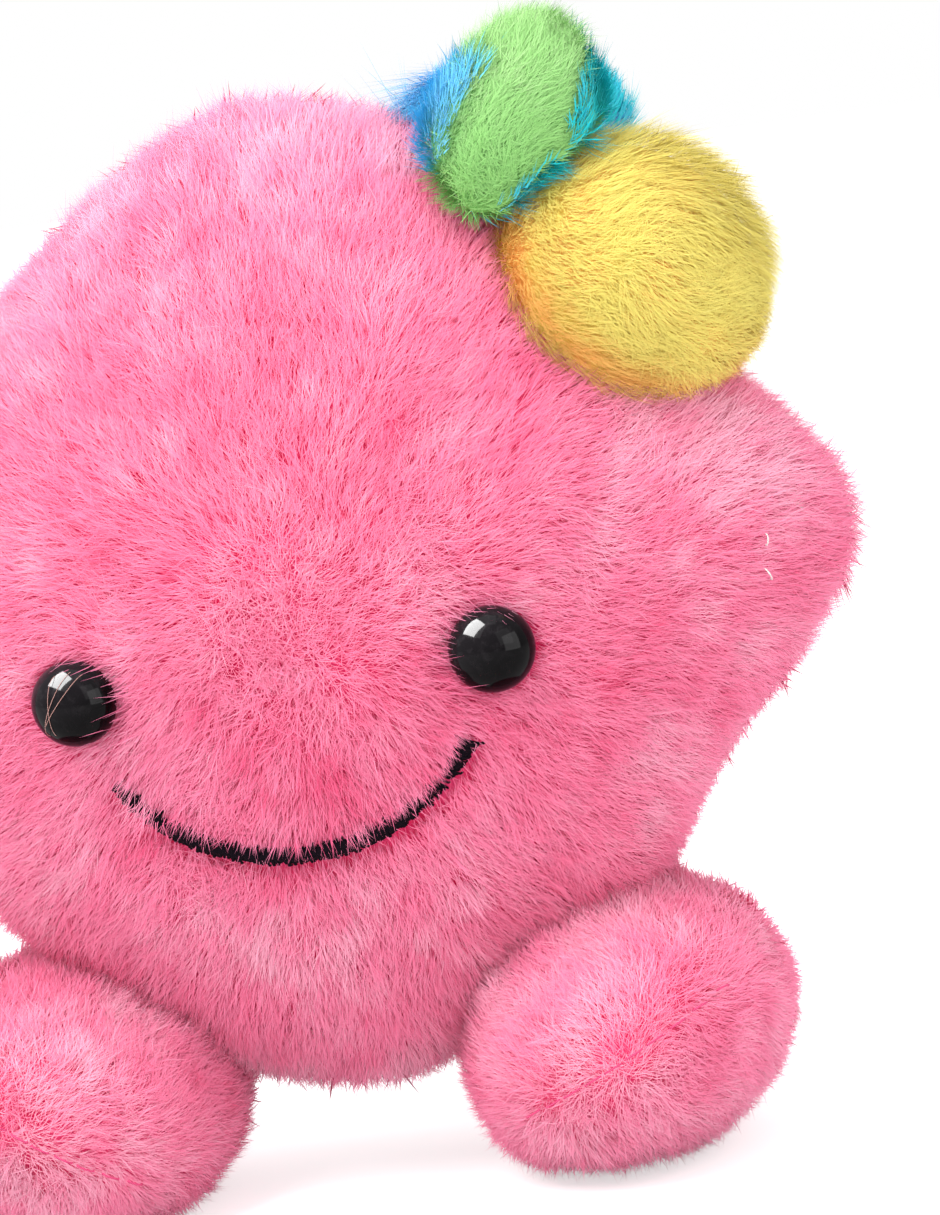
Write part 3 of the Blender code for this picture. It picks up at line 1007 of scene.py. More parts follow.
@dataclass
class Coat:
    """The pile on one skin."""

    label: str
    skin: Skin
    finish: PileFinish
    count: int
    nap: Nap
    seed: int
    length: float = 0.0048
    breadth: float = 0.00009
    parts: tuple[str, ...] = ("",)
    where: Callable[[Points, Points], Points] | None = None
    tone: Callable[[Points, Points], Points] | None = None
    trim: Callable[[Points, Points], Points] | None = None
    openings: tuple[Clearing | Line, ...] = ()
    clump: int = 30
    pull: float = 0.30
    swirl: float = 0.28
    stray: float = 0.34       # how far single strands turn off the nap
    curl: float = 0.10        # how far their tips turn off sideways
    fleck: float = 0.09       # how far single strands differ in tint
    patch: float = 0.11       # how far whole patches do
    roll: float = 10.0        # how far they turn about their own length, in degrees
    rough: float = 0.14       # how far they differ in height
    lean: float = 0.0         # how much flatter than usual they lie
    softness: float = 0.95    # how much of the shading is the skin's
    stand: float = 0.55       # what is left of a strand's height where it can't run on
    LENGTHS = (0.66, 1.14)    # the least and the most, as for the next three
    BREADTHS = (0.7, 1.25)
    HEIGHTS = (0.4, 1.5)
    PULLS = (0.3, 1.2)
    SWIRL_SIZE = 0.015
    DIP = (0.07, 0.011)       # how strong and how long the waves in height are
    PATCH_SIZES = (0.006, 0.020)
    TUFT_TURN = 0.4           # whole tufts turn off by this share of `stray`
    TUFT_LENGTH = 0.08        # how far they differ in length
    TUFT_TINT = 0.05          # and in tint
    SURE_RUN = 0.20           # how much shorter a strand runs where the nap is unsure
    LEAN_RUN = 0.5            # how much further it runs for its lean
    THINNEST = 0.25           # strands grow broader where the pile is thin, down to this density
    BROADER = 0.7             # by this power of the density
    MAP_WIDTH = 0.02          # how wide a strand is on the texture map
    MAP_EDGE = 0.01           # the map's free edge

    def sow(self, rng: np.random.Generator) -> tuple[Points, Points]:
        """Scatters roots over the skin.

        Args:
            rng: Source of the random draws.

        Returns:
            The roots and the skin's normals there.
        """
        mesh = self.skin.mesh
        mesh.calc_loop_triangles()
        faces = np.empty(len(mesh.loop_triangles) * 3, np.int32)
        mesh.loop_triangles.foreach_get("vertices", faces)
        faces = faces.reshape(-1, 3)
        points = corners(mesh)
        normals = normals_of(mesh)
        first, second, third = (points[faces[:, index]] for index in range(3))
        area = np.linalg.norm(np.cross(second - first, third - first), axis=1)
        if self.where:
            middle = (first + second + third) / 3
            area = area * self.where(middle, unit(normals[faces[:, 0]]))
        chosen = np.searchsorted(np.cumsum(area) / area.sum(), rng.random(self.count), side="right")
        chosen = np.minimum(chosen, len(faces) - 1)
        share = rng.random((self.count, 2))
        share = np.where(share.sum(1, keepdims=True) > 1.0, 1.0 - share, share)
        weights = np.column_stack([1.0 - share.sum(1), share])
        roots = np.einsum("nk,nkd->nd", weights, points[faces[chosen]])
        out = unit(np.einsum("nk,nkd->nd", weights, normals[faces[chosen]]))
        return roots, out

    def clumps(self, roots: Points, rng: np.random.Generator) -> tuple[Points, Points]:
        """Gathers strands in tufts.

        Args:
            roots: The strands' roots.
            rng: Source of the random draws.

        Returns:
            For each strand, its tuft's number and its tuft's middle.
        """
        middles = roots[rng.choice(len(roots), len(roots) // self.clump, replace=False)]
        tree = KDTree(len(middles))
        for index, middle in enumerate(middles):
            tree.insert(middle, index)
        tree.balance()
        own = np.array([tree.find(root)[1] for root in roots])
        return own, middles[own]

    def comb(self, roots: Points, out: Points, rng: np.random.Generator) -> dict[str, Points]:
        """Works out how each strand lies.

        Args:
            roots: The strands' roots.
            out: The skin's normals there.
            rng: Source of the random draws.

        Returns:
            The attributes that the strand tree reads.
        """
        count = len(roots)
        own, middle = self.clumps(roots, rng)
        many = own.max() + 1
        flow = self.nap(roots, out)
        sure = np.clip(np.linalg.norm(flow, axis=1), 0.0, 1.0)
        flow = flow + self.swirl * Waves(self.seed, self.SWIRL_SIZE).vectors(roots)
        flow += (rng.normal(0.0, self.stray * self.TUFT_TURN, (many, 3))[own]
                 + rng.normal(0.0, self.stray, (count, 3)))
        flow = along_surface(flow, out)
        across = np.cross(flow, out)
        turn = np.radians(rng.normal(0.0, self.roll, count))[:, None]
        side = across * np.cos(turn) + out * np.sin(turn)
        size = self.length * rng.uniform(*self.LENGTHS, count)
        size = size * (1.0 + self.TUFT_LENGTH * rng.normal(size=many)[own])
        if self.trim:
            size = size * self.trim(roots, out)
        reach = StrandTree.LAY + StrandTree.SWEEP
        wanted = size * reach * (1.0 - self.SURE_RUN + self.SURE_RUN * sure)
        wanted = wanted * (1.0 + self.LEAN_RUN * self.lean)
        advance = wanted
        raised = np.ones(count)
        for opening in self.openings:
            advance, press = opening.open(roots, flow, advance, rng)
            raised = raised * press
        kept = advance > 0.0
        free = advance / wanted
        depth, wave = self.DIP
        lift = 1.0 + self.rough * rng.normal(size=count) + depth * Waves(self.seed + 1, wave).at(roots)
        lift = np.clip(lift * (1.0 - self.lean), *self.HEIGHTS)
        height = size * lift * (self.stand + (1.0 - self.stand) * free) * raised
        pull = (middle - roots) * (self.pull * rng.uniform(*self.PULLS, many))[own][:, None]
        pull = pull + side * (size * rng.normal(0.0, self.curl, count))[:, None]
        tint = 0.5 + self.TUFT_TINT * rng.normal(size=many)[own] + self.fleck * rng.normal(size=count)
        for step, wave in enumerate(self.PATCH_SIZES, start=2):
            tint = tint + self.patch * Waves(self.seed + step, wave).at(roots)
        if self.tone:
            tint = tint + self.tone(roots, out)
        breadth = self.breadth
        if self.where:
            share = self.where(roots, out).astype(float)
            breadth = breadth / np.where(share > 0.0, np.maximum(share, self.THINNEST), 1.0) ** self.BROADER
        values = {
            "root": roots, "out": out * height[:, None], "nap": flow * (advance / reach)[:, None],
            "side": side, "pull": pull * free[:, None],
            "breadth": breadth * rng.uniform(*self.BREADTHS, count), "tint": np.clip(tint, 0.0, 1.0),
        }
        return {name: value[kept] for name, value in values.items()}

    def grow(self, tree: StrandTree) -> None:
        """Grows the pile and puts it in the scene, split in even parts from the ground up.

        Args:
            tree: The tree that grows strands.
        """
        rng = np.random.default_rng(self.seed)
        values = self.comb(*self.sow(rng), rng)
        order = np.argsort(values["root"][:, 2], kind="stable")
        material = self.finish.material()
        for part, chosen in zip(self.parts, np.array_split(order, len(self.parts))):
            name = f"{self.label}_{part}" if part else self.label
            self.plant(name, {key: value[chosen] for key, value in values.items()}, tree, material)

    def plant(self, name: str, values: dict[str, Points], tree: StrandTree,
              material: Material) -> None:
        """Makes one piece of pile.

        Args:
            name: The piece's name.
            values: Its strands' attributes.
            tree: The tree that grows strands.
            material: The strands' material.
        """
        mesh = tree.run(seeds(name + "_roots", values["root"], values), {
            "Rise": StrandTree.RISE, "Bend": StrandTree.BEND, "Lay": StrandTree.LAY,
            "Sweep": StrandTree.SWEEP, "Floor": FLOOR_GAP, "Material": material,
        }, name)
        self.shade(mesh)
        for key in (*values, "across"):
            if key != "tint":
                mesh.attributes.remove(mesh.attributes[key])
        as_piece(mesh_object(name, mesh), self.finish.slot)

    def shade(self, mesh: Mesh) -> None:
        """Softens the strands' normals towards the skin's, and maps them by tint and length.

        Args:
            mesh: The grown pile.
        """
        def read(name: str, wide: int) -> Points:
            """One attribute of the mesh."""
            found = np.empty(len(mesh.vertices) * wide, np.float32)
            mesh.attributes[name].data.foreach_get("vector" if wide == 3 else "value", found)
            return found.reshape(-1, wide).astype(float)

        along = read("along", 1)
        out = read("out", 3)
        nap = read("nap", 3)
        course = out * (StrandTree.RISE - 2.0 * StrandTree.BEND * along)
        course = course + nap * (StrandTree.LAY + 2.0 * StrandTree.SWEEP * along)
        face = unit(np.cross(read("side", 3), course))
        soft = unit(face * (1.0 - self.softness) + unit(out) * self.softness)
        mesh.shade_smooth()
        mesh.normals_split_custom_set_from_vertices(soft.astype(np.float32))
        loops = np.empty(len(mesh.loops), np.int32)
        mesh.loops.foreach_get("vertex_index", loops)
        places = np.column_stack([read("tint", 1) + read("across", 1) * self.MAP_WIDTH, along])
        places = self.MAP_EDGE + (1.0 - 2.0 * self.MAP_EDGE) * np.clip(places, 0.0, 1.0)
        layer = mesh.uv_layers.new(name="OFBake")
        layer.uv.foreach_set("vector", places[loops].astype(np.float32).ravel())


@dataclass(frozen=True)
class FrontNap:
    """Pile that runs out from the middle of the face and over the star's edge."""

    centre: Vector
    over: float = 0.8
    still: float = 0.013
    wide: float = 0.040

    def __call__(self, points: Points, normals: Points) -> Points:
        """The nap at each point, not yet laid flat.

        Args:
            points: The places, one a row.
            normals: The skin's normals there.

        Returns:
            Directions, up to length 1 where the nap is sure.
        """
        away = points - np.array(self.centre)
        away[:, 1] = 0.0
        far = np.linalg.norm(away, axis=1, keepdims=True)
        flow = away / np.maximum(far, self.still)
        flow[:, 1] = self.over * np.clip(far[:, 0] / self.wide, 0.0, 1.0)
        return flow


@dataclass(frozen=True)
class BackNap:
    """Pile on the back, which runs down and a little outwards."""

    centre: Vector
    fan: float = 0.45

    def __call__(self, points: Points, normals: Points) -> Points:
        """The nap at each point, not yet laid flat."""
        away = unit(points - np.array(self.centre)) * self.fan
        away[:, 1] = 0.0
        return away + np.array((0.0, 0.0, -1.0))


@dataclass(frozen=True)
class SeamNap:
    """Pile on a foot, which parts at the toe's seam and runs out over the edge."""

    centre: Vector
    tilt: float
    wide: float = 0.020
    over: float = 0.5
    out: float = 0.8          # how strongly it runs out
    part: float = 0.45        # how strongly it parts at the seam
    width: float = 0.002      # how far the parting reaches

    def up(self) -> Points:
        """The direction across the seam."""
        return np.array((-math.sin(self.tilt), 0.0, math.cos(self.tilt)))

    def __call__(self, points: Points, normals: Points) -> Points:
        """The nap at each point, not yet laid flat.

        Args:
            points: The places, one a row.
            normals: The skin's normals there.

        Returns:
            Directions.
        """
        away = points - np.array(self.centre)
        away[:, 1] = 0.0
        height = away @ self.up()
        flow = away / self.wide * self.out + np.outer(np.tanh(height / self.width), self.up()) * self.part
        flow[:, 1] += self.over * np.clip(np.linalg.norm(away, axis=1) / self.wide, 0.0, 1.0)
        return flow


@dataclass(frozen=True)
class LobeNap:
    """Pile on a tail lobe, which runs from the root to the lobe's far end."""

    root: Vector
    down: float = 0.25
    over: float = 0.25

    def __call__(self, points: Points, normals: Points) -> Points:
        """The nap at each point, not yet laid flat."""
        flow = unit(points - np.array(self.root))
        return flow + np.array((0.0, self.over, -self.down))


@dataclass
class Eye:
    """One glossy dome on its shank, turned finely where the CAD has it in facets."""

    side: str
    steps: int = 64
    arc: int = 18
    edge: float = 0.00035

    def __post_init__(self) -> None:
        """Measures the CAD eye: its axis through the washer, its rim and its pole."""
        eye = self.ring_middle(f"eye_{self.side}")
        washer = self.ring_middle(f"eye_washer_{self.side}")
        self.axis = (eye - washer).normalized()
        points = corners(frame["nodes"][f"eye_{self.side}"].data) - np.array(washer)
        heights = points @ np.array(self.axis)
        radii = np.linalg.norm(points - np.outer(heights, np.array(self.axis)), axis=1)
        self.radius = float(radii.max())
        rim = heights[radii > self.radius * 0.98]
        self.rim_top = float(rim.max())
        self.rim_back = float(rim.min())
        self.pole = float(heights.max())
        self.foot = float(heights.min())
        self.shank = float(radii[(heights < self.rim_back - 1e-4) & (radii > 1e-4)].max())
        self.base = washer

    @staticmethod
    def ring_middle(node: str) -> Vector:
        """The middle of a turned node's points, which lies on its axis."""
        points = np.unique(np.round(corners(frame["nodes"][node].data), 6), axis=0)
        return Vector(points.mean(axis=0))

    def seat(self) -> Vector:
        """The middle of the dome's rim."""
        return self.base + self.axis * self.rim_top

    def profile(self) -> list[tuple[float, float]]:
        """Radius and height of the turned section, from the pole to the shank's end."""
        rise = self.pole - self.rim_top
        dome = []
        for step in range(self.arc + 1):
            turn = math.radians(90.0 * step / self.arc)
            dome.append((self.radius * math.sin(turn), self.rim_top + rise * math.cos(turn)))
        low = self.rim_back
        return dome + [
            (self.radius, low + self.edge), (self.radius - self.edge * 0.3, low + self.edge * 0.3),
            (self.radius - self.edge, low), (self.shank + self.edge, low), (self.shank, low - self.edge),
            (self.shank, self.foot + self.edge), (self.shank - self.edge, self.foot), (0.0, self.foot),
        ]

    def build(self, finish: Material) -> None:
        """Turns the eye and puts it in place of the CAD's.

        Args:
            finish: The eye's material.
        """
        made = bmesh.new()
        section = self.profile()
        verts = [made.verts.new((radius, 0.0, height)) for radius, height in section]
        edges = [made.edges.new(pair) for pair in zip(verts, verts[1:])]
        bmesh.ops.spin(made, geom=verts + edges, cent=(0, 0, 0), axis=(0, 0, 1),
                       angle=2 * math.pi, steps=self.steps, use_duplicate=False)
        bmesh.ops.remove_doubles(made, verts=made.verts, dist=1e-6)
        mesh = from_bmesh(f"eye_{self.side}_dome", made)
        turned = self.axis.to_track_quat("Z", "Y").to_matrix().to_4x4()
        mesh.transform(Matrix.Translation(self.base) @ turned)
        as_piece(mesh_object(mesh.name, mesh, finish), "eye_plastic", f"eye_{self.side}")


@dataclass(frozen=True)
class Arch:
    """A stitch of length, thickness and height 1: a round thread arched over from end to end."""

    bends: int = 8            # how many parts the arch is made of
    sides: int = 6            # how many sides the thread has
    ends: float = 0.08        # the thread's share of the length where the arch stands upright
    top: float = 0.18         # the thread's share of the height where it lies level
    fullness: float = 0.6     # the lower, the steeper the arch's ends

    def build(self) -> Object:
        """Makes the stitch, to be repeated.

        Returns:
            The stitch's object.
        """
        points = []
        for bend in range(self.bends + 1):
            turn = math.pi * bend / self.bends
            x = -0.5 * math.cos(turn)
            z = math.sin(turn) ** self.fullness - 1.0
            for around in range(self.sides):
                angle = 2.0 * math.pi * around / self.sides
                points.append((x + self.ends * math.cos(angle) * math.cos(turn), 0.5 * math.sin(angle),
                               z + self.top * math.cos(angle) * math.sin(turn)))
        faces: list[tuple[int, ...]] = []
        for bend in range(self.bends):
            start = bend * self.sides
            above = start + self.sides
            for around in range(self.sides):
                after = (around + 1) % self.sides
                faces.append((start + around, start + after, above + after, above + around))
        faces.append(tuple(range(self.sides)))
        faces.append(tuple(self.bends * self.sides + around for around in reversed(range(self.sides))))
        made = bmesh.new()
        made.from_mesh(from_faces("arch_faces", np.array(points), faces))
        return mesh_object("arch", from_bmesh("arch", made))


class StitchTree(NodeTree):
    """Lays one stitch on every point, along the point's own run and facing its own way up."""

    def __init__(self, arch: Arch) -> None:
        """Builds the tree.

        Args:
            arch: The stitch that is repeated.
        """
        super().__init__("stitches", {"Thickness": "NodeSocketFloat"})
        turn = self.node("FunctionNodeAxesToRotation", {
            "Primary Axis": self.attribute("up", "FLOAT_VECTOR"),
            "Secondary Axis": self.attribute("run", "FLOAT_VECTOR"),
        }, primary_axis="Z", secondary_axis="X")
        size = self.node("ShaderNodeCombineXYZ", {
            "X": self.attribute("length"), "Y": self.entry.outputs["Thickness"],
            "Z": self.attribute("height"),
        })
        self.finish(self.repeated({"Rotation": turn.outputs[0], "Scale": size.outputs[0]}))
        self.single = arch.build()

    def lay(self, name: str, rows: dict[str, Points], thickness: float, material: Material) -> Object:
        """Lays the stitches.

        Args:
            name: The new object's name.
            rows: Place, up, run, length and height of each stitch.
            thickness: The thread's thickness.
            material: The thread's material.

        Returns:
            The stitches as one object.
        """
        carried = {key: value for key, value in rows.items() if key != "place"}
        mesh = self.run(seeds(name + "_points", rows["place"], carried), {
            "Thickness": thickness, "Material": material,
        }, name)
        mesh.shade_smooth()
        return mesh_object(name, mesh)


@dataclass
class Smile:
    """The mouth: satin stitches side by side along an arc, sunk in the pile."""

    eye_height: float
    radius: float = 0.0252
    rise: float = 0.0043
    aside: float = -0.0006
    half_angle: float = math.radians(55.5)
    width: float = 0.00190
    pitch: float = 0.00024
    thickness: float = 0.00032
    sink: float = 0.0015
    depth: float = 0.0011
    slant: float = 0.25
    seed: int = 71
    SMOOTHED = 4              # each stitch's place is the mean of so many on either side

    def __post_init__(self) -> None:
        """Places the arc's centre and reads the surface that it lies on."""
        self.surface = surface_of(("body_front_panel", "mouth_embroidery"))
        self.centre = Vector((self.aside, 0.0, self.eye_height + self.rise))

    def parting(self) -> Line:
        """The line at which the pile parts."""
        return Line(self.centre, self.radius, self.half_angle + 0.02, self.width)

    def rows(self) -> dict[str, Points]:
        """Places the stitches.

        Returns:
            Place, up, run, length and height of each.
        """
        rng = np.random.default_rng(self.seed)
        count = int(2 * self.half_angle * self.radius / self.pitch)
        turns = np.linspace(-self.half_angle, self.half_angle, count)
        place = np.array([seen_at(self.surface, self.centre.x + self.radius * math.sin(turn),
                                  self.centre.z - self.radius * math.cos(turn))[0] for turn in turns])
        kernel = np.ones(2 * self.SMOOTHED + 1) / (2 * self.SMOOTHED + 1)
        padded = np.pad(place, ((self.SMOOTHED, self.SMOOTHED), (0, 0)), mode="edge")
        place = np.stack([np.convolve(padded[:, axis], kernel, "valid") for axis in range(3)], axis=1)
        tangent = unit(np.gradient(place, axis=0))
        spread = np.column_stack([np.sin(turns), np.zeros(count), -np.cos(turns)])
        up = unit(np.cross(spread, tangent))
        up = np.where(up[:, 1:2] > 0.0, -up, up)
        run = unit(np.cross(tangent, up) + tangent * self.slant)
        length = self.width * rng.uniform(0.74, 1.14, count)
        order = np.arange(count)
        length = length * (1.0 + 0.5 * np.exp((order + 1 - count) / 2.5) - 0.30 * np.exp(-order / 4.0))
        height = self.depth * rng.uniform(0.94, 1.06, count)
        place = place - up * self.sink + run * (rng.normal(0.0, 0.05, count) * self.width)[:, None]
        return {"place": place, "up": up, "run": run, "length": length, "height": height}

    def build(self, tree: StitchTree, finish: Material) -> None:
        """Embroiders the mouth and puts it in place of the CAD's thread.

        Args:
            tree: The tree that lays stitches.
            finish: The thread's material.
        """
        laid = tree.lay("mouth_stitches", self.rows(), self.thickness, finish)
        as_piece(laid, "mouth_thread", "mouth_embroidery")


@dataclass(frozen=True)
class LooseThreads:
    """A few single stitches or hairs, each laid where a line from the front meets a surface.

    Each spot is x and z in millimetres, the turn from +X towards +Z in degrees, and the length and
    the height of the arch in millimetres.
    """

    label: str
    slot: str
    spots: tuple[tuple[float, float, float, float, float], ...]
    thickness: float
    lift: float

    def build(self, surface: BVHTree, tree: StitchTree, finish: Material) -> None:
        """Lays the threads.

        Args:
            surface: What they lie on.
            tree: The tree that lays stitches.
            finish: Their material.
        """
        place, up, run = [], [], []
        for x, z, turn, _, _ in self.spots:
            spot, normal = seen_at(surface, x * 1e-3, z * 1e-3)
            place.append(spot + normal * self.lift)
            up.append(normal)
            run.append((math.cos(math.radians(turn)), 0.0, math.sin(math.radians(turn))))
        up = np.array(up)
        sizes = np.array(self.spots)[:, 3:] * 1e-3
        rows = {"place": np.array(place), "up": up, "run": along_surface(np.array(run), up),
                "length": sizes[:, 0], "height": sizes[:, 1]}
        as_piece(tree.lay(self.label, rows, self.thickness, finish), self.slot)


class Side(Enum):
    """The toy's two sides, by their direction along X."""

    LEFT = -1
    RIGHT = 1


@dataclass
class Foot:
    """One stuffed foot, with the seam across its toe."""

    side: Side
    seam_tilt: float
    cells: int = 12
    strands: int = 52000
    crease: float = 0.0006
    crease_width: float = 0.0014
    stitch: float = 2.1           # length of a seam stitch, in millimetres
    pitch: float = 2.9
    stitches: range = range(-4, 6)      # their places along the seam, from the toe's middle
    pale: float = 0.08            # how much paler than the body it is
    toe_pale: float = 0.25        # how much paler again its toe is
    toe: float = 0.009

    def __post_init__(self) -> None:
        """Finds the foot's middle in the CAD, whose two panels meet there."""
        self.word = self.side.name.lower()
        self.covers = (f"foot_{self.word}_upper", f"foot_{self.word}_sole")
        low, high = box_of((f"foot_{self.word}_sole",))
        self.tilt = math.radians(self.side.value * self.seam_tilt)
        upper = box_of(self.covers)
        self.centre = Vector(((low.x + high.x) / 2, (low.y + high.y) / 2, (upper[0].z + upper[1].z) / 2))

    def creased(self, points: Points, normals: Points) -> Points:
        """How far the seam draws the skin in."""
        up = SeamNap(self.centre, self.tilt).up()
        height = (points - np.array(self.centre)) @ up
        return -normals * (self.crease * np.exp(-(height / self.crease_width) ** 2))[:, None]

    def build(self, tree: StrandTree) -> None:
        """Makes the foot's skin and pile.

        Args:
            tree: The tree that grows strands.
        """
        skin = Skin(f"foot_{self.word}_skin", self.covers, (f"foot_{self.word}_filling",), PINK,
                    self.cells, inset=0.0033, shape=self.creased, floor=0.0012).build()
        Coat(f"foot_{self.word}_pile", skin, PINK, self.strands, SeamNap(self.centre, self.tilt),
             seed=40 + self.side.value, length=0.0044,
             tone=self.tone, where=self.seen).grow(tree)

    @staticmethod
    def seen(points: Points, normals: Points) -> Points:
        """How densely the pile grows: most on the toe."""
        return denser_in_front(points, 0.3, -0.004, 0.012)

    def tone(self, points: Points, normals: Points) -> Points:
        """Paler on the toe."""
        away = points - np.array(self.centre)
        return self.pale + self.toe_pale * np.exp(-(away[:, 0] ** 2 + away[:, 2] ** 2) / self.toe ** 2)

    def seam(self) -> LooseThreads:
        """The sewing thread that shows along the toe's seam."""
        along = (math.cos(self.tilt), math.sin(self.tilt))
        turn = math.degrees(self.tilt)
        spots = tuple((self.centre.x * 1e3 + along[0] * step * self.pitch,
                       self.centre.z * 1e3 + along[1] * step * self.pitch, turn, self.stitch, 0.5)
                      for step in self.stitches)
        return LooseThreads(f"foot_{self.word}_seam_thread", "pink_plush", spots, 0.00026, -0.0002)


@dataclass
class TailLobe:
    """One of the tail's stuffed lobes."""

    word: str
    finish: PileFinish
    root: Vector
    strands: int
    seed: int
    length: float = 0.0046
    cells: int = 10
    down: float = 0.25
    tone: Callable[[Points, Points], Points] | None = None
    trim: Callable[[Points, Points], Points] | None = None
    bare: Callable[[Points, Points], Points] | None = None
    SOFT = {
        "breadth": 0.00008, "fleck": 0.04, "patch": 0.03, "pull": 0.04, "clump": 12, "stray": 0.24,
        "curl": 0.06, "roll": 4.0, "rough": 0.10, "lean": 0.16, "softness": 0.98,
    }

    def build(self, tree: StrandTree) -> Skin:
        """Makes the lobe's skin and pile.

        Args:
            tree: The tree that grows strands.

        Returns:
            The skin.
        """
        skin = Skin(f"tail_{self.word}_skin", (f"tail_{self.word}_cover",), (f"tail_{self.word}_filling",),
                    self.finish, self.cells, inset=0.0022).build()
        Coat(f"tail_{self.word}_pile", skin, self.finish, self.strands, LobeNap(self.root, self.down),
             seed=self.seed, length=self.length, tone=self.tone, trim=self.trim,
             where=self.seen, **self.SOFT).grow(tree)
        return skin

    def seen(self, points: Points, normals: Points) -> Points:
        """How densely the pile grows: less behind, and not where another lobe's pile takes over."""
        front = denser_in_front(points, 0.35, -0.012, 0.0)
        return front * (1.0 - self.bare(points, normals)) if self.bare else front


class Tail:
    """The three lobes, the fringe where the blue pile comes round the green lobe, and loose wisps."""

    SHOULDER = (0.022, 0.104)                      # x and z of the place that the lobes grow from
    NEAR_BODY = 0.002                              # the yellow turns orange, painted pink bounce light, this close to the body
    YELLOW_FAR = (0.157, 0.168)                    # x + z over which the yellow pile grows longer
    GREEN_HIGH = (0.123, 0.131)                    # z over which the green pile does
    BLUE_ACROSS = (0.024, 0.040)                   # x over which the blue turns cyan
    FRINGE_ACROSS = (0.026, 0.038)
    FRINGE_SIDES = ((0.80, -0.05, -0.60), (0.66, 0.70, -0.26))     # where it faces at the lower right
    FRINGE_LOWEST = (0.109, 0.112)
    FRINGE_TOP_SIDE = (-0.85, -0.10, 0.52)         # and at the upper left
    FRINGE_HIGHEST = (0.126, 0.130)
    FRINGE_EDGE = 0.60                             # how nearly the lobe has to face that way
    WISP_WAY = (-0.85, -0.85, -0.50)               # the way that the wisps hang over the shoulder
    WISP_RISE = (0.112, 0.124)                     # z over which they turn from violet, partly painted pink bounce light, to blue
    WISP_AREA = (0.027, 0.012, 0.108)              # they grow left of, in front of and above this

    def __init__(self, body: BVHTree) -> None:
        """Finds the shoulder and the green lobe.

        Args:
            body: The body's surface.
        """
        self.body = body
        self.shoulder = Vector((self.SHOULDER[0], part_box("body_front_panel")[1].y, self.SHOULDER[1]))
        low, high = box_of(("tail_green_cover",))
        self.green_middle = (low.z + high.z) / 2
        self.green_height = high.z - low.z

    def fringe(self, points: Points, normals: Points, edge: float = FRINGE_EDGE) -> Points:
        """Where the blue pile comes round the green lobe: at its lower right and its upper left.

        Args:
            points: Places on the lobe, one a row.
            normals: The lobe's normals there.
            edge: How nearly it has to face the fringe's way.

        Returns:
            The fringe's share at each place.
        """
        right = np.maximum(*(smooth_step(normals @ np.array(side), edge, edge + 0.15)
                             for side in self.FRINGE_SIDES))
        right = right * smooth_step(points[:, 2], *self.FRINGE_LOWEST)
        left = smooth_step(normals @ np.array(self.FRINGE_TOP_SIDE), edge + 0.04, edge + 0.20)
        top, over = self.FRINGE_HIGHEST
        return np.clip(right + left * smooth_step(-points[:, 2], -over, -top), 0.0, 1.0)

    def yellow_painted_bounce(self, points: Points, normals: Points) -> Points:
        """Orange where the yellow lobe meets the body: painted pink bounce light from the body."""
        return -0.5 * np.exp(-distance(self.body, points) / self.NEAR_BODY)

    def yellow_trim(self, points: Points, normals: Points) -> Points:
        """Longer at the yellow lobe's upper right."""
        return 1.0 + 0.9 * smooth_step(points[:, 0] + points[:, 2], *self.YELLOW_FAR)

    def green_painted_light_and_shade(self, points: Points, normals: Points) -> Points:
        """Paler up the green lobe and darker low on it: painted light from above and painted shade below."""
        return 0.6 * (points[:, 2] - self.green_middle) / self.green_height

    def green_trim(self, points: Points, normals: Points) -> Points:
        """Longer at the green lobe's top, and shorter at the fringe."""
        longer = 1.0 + 0.7 * smooth_step(points[:, 2], *self.GREEN_HIGH)
        return longer * (1.0 - 0.4 * self.fringe(points, normals, 0.35))

    def blue_tone(self, points: Points, normals: Points) -> Points:
        """Cyan towards the blue lobe's right."""
        return smooth_step(points[:, 0], *self.BLUE_ACROSS) * 0.6 - 0.2

    def fringe_tone(self, points: Points, normals: Points) -> Points:
        """Cyan towards the fringe's right."""
        return smooth_step(points[:, 0], *self.FRINGE_ACROSS) * 0.5

    def wisp_violet_and_bounce(self, points: Points, normals: Points) -> Points:
        """Violet in the low wisps near the pink body: partly their own colour, partly painted pink bounce
        light.
        """
        return smooth_step(points[:, 2], *self.WISP_RISE) * 0.4 - 0.4

    def wisp_nap(self, points: Points, normals: Points) -> Points:
        """The wisps' one direction."""
        return points * 0.0 + np.array(self.WISP_WAY)

    def wisp_area(self, points: Points, normals: Points) -> Points:
        """Where the wisps grow."""
        x, y, z = self.WISP_AREA
        return (points[:, 0] < x) & (points[:, 1] < y) & (points[:, 2] > z)

    def build(self, tree: StrandTree) -> None:
        """Makes the whole tail.

        Args:
            tree: The tree that grows strands.
        """
        skins = [lobe.build(tree) for lobe in (
            TailLobe("yellow", YELLOW, self.shoulder, 36000, 61, tone=self.yellow_painted_bounce,
                     trim=self.yellow_trim),
            TailLobe("green", GREEN, self.shoulder, 24000, 62, length=0.0038, tone=self.green_painted_light_and_shade,
                     trim=self.green_trim, bare=self.fringe),
            TailLobe("blue", BLUE, self.shoulder, 14000, 63, down=-0.4, tone=self.blue_tone),
        )]
        Coat("tail_blue_fringe", skins[1], BLUE, 8000, LobeNap(self.shoulder, -0.1, -0.2), seed=65,
             length=0.0048, tone=self.fringe_tone, where=self.fringe,
             **{**TailLobe.SOFT, "lean": 0.0}).grow(tree)
        Coat("tail_blue_wisps", skins[2], BLUE, 3000, self.wisp_nap, seed=64, length=0.0110,
             breadth=0.00010, stray=0.30, softness=0.95, lean=0.3, tone=self.wisp_violet_and_bounce,
             where=self.wisp_area).grow(tree)


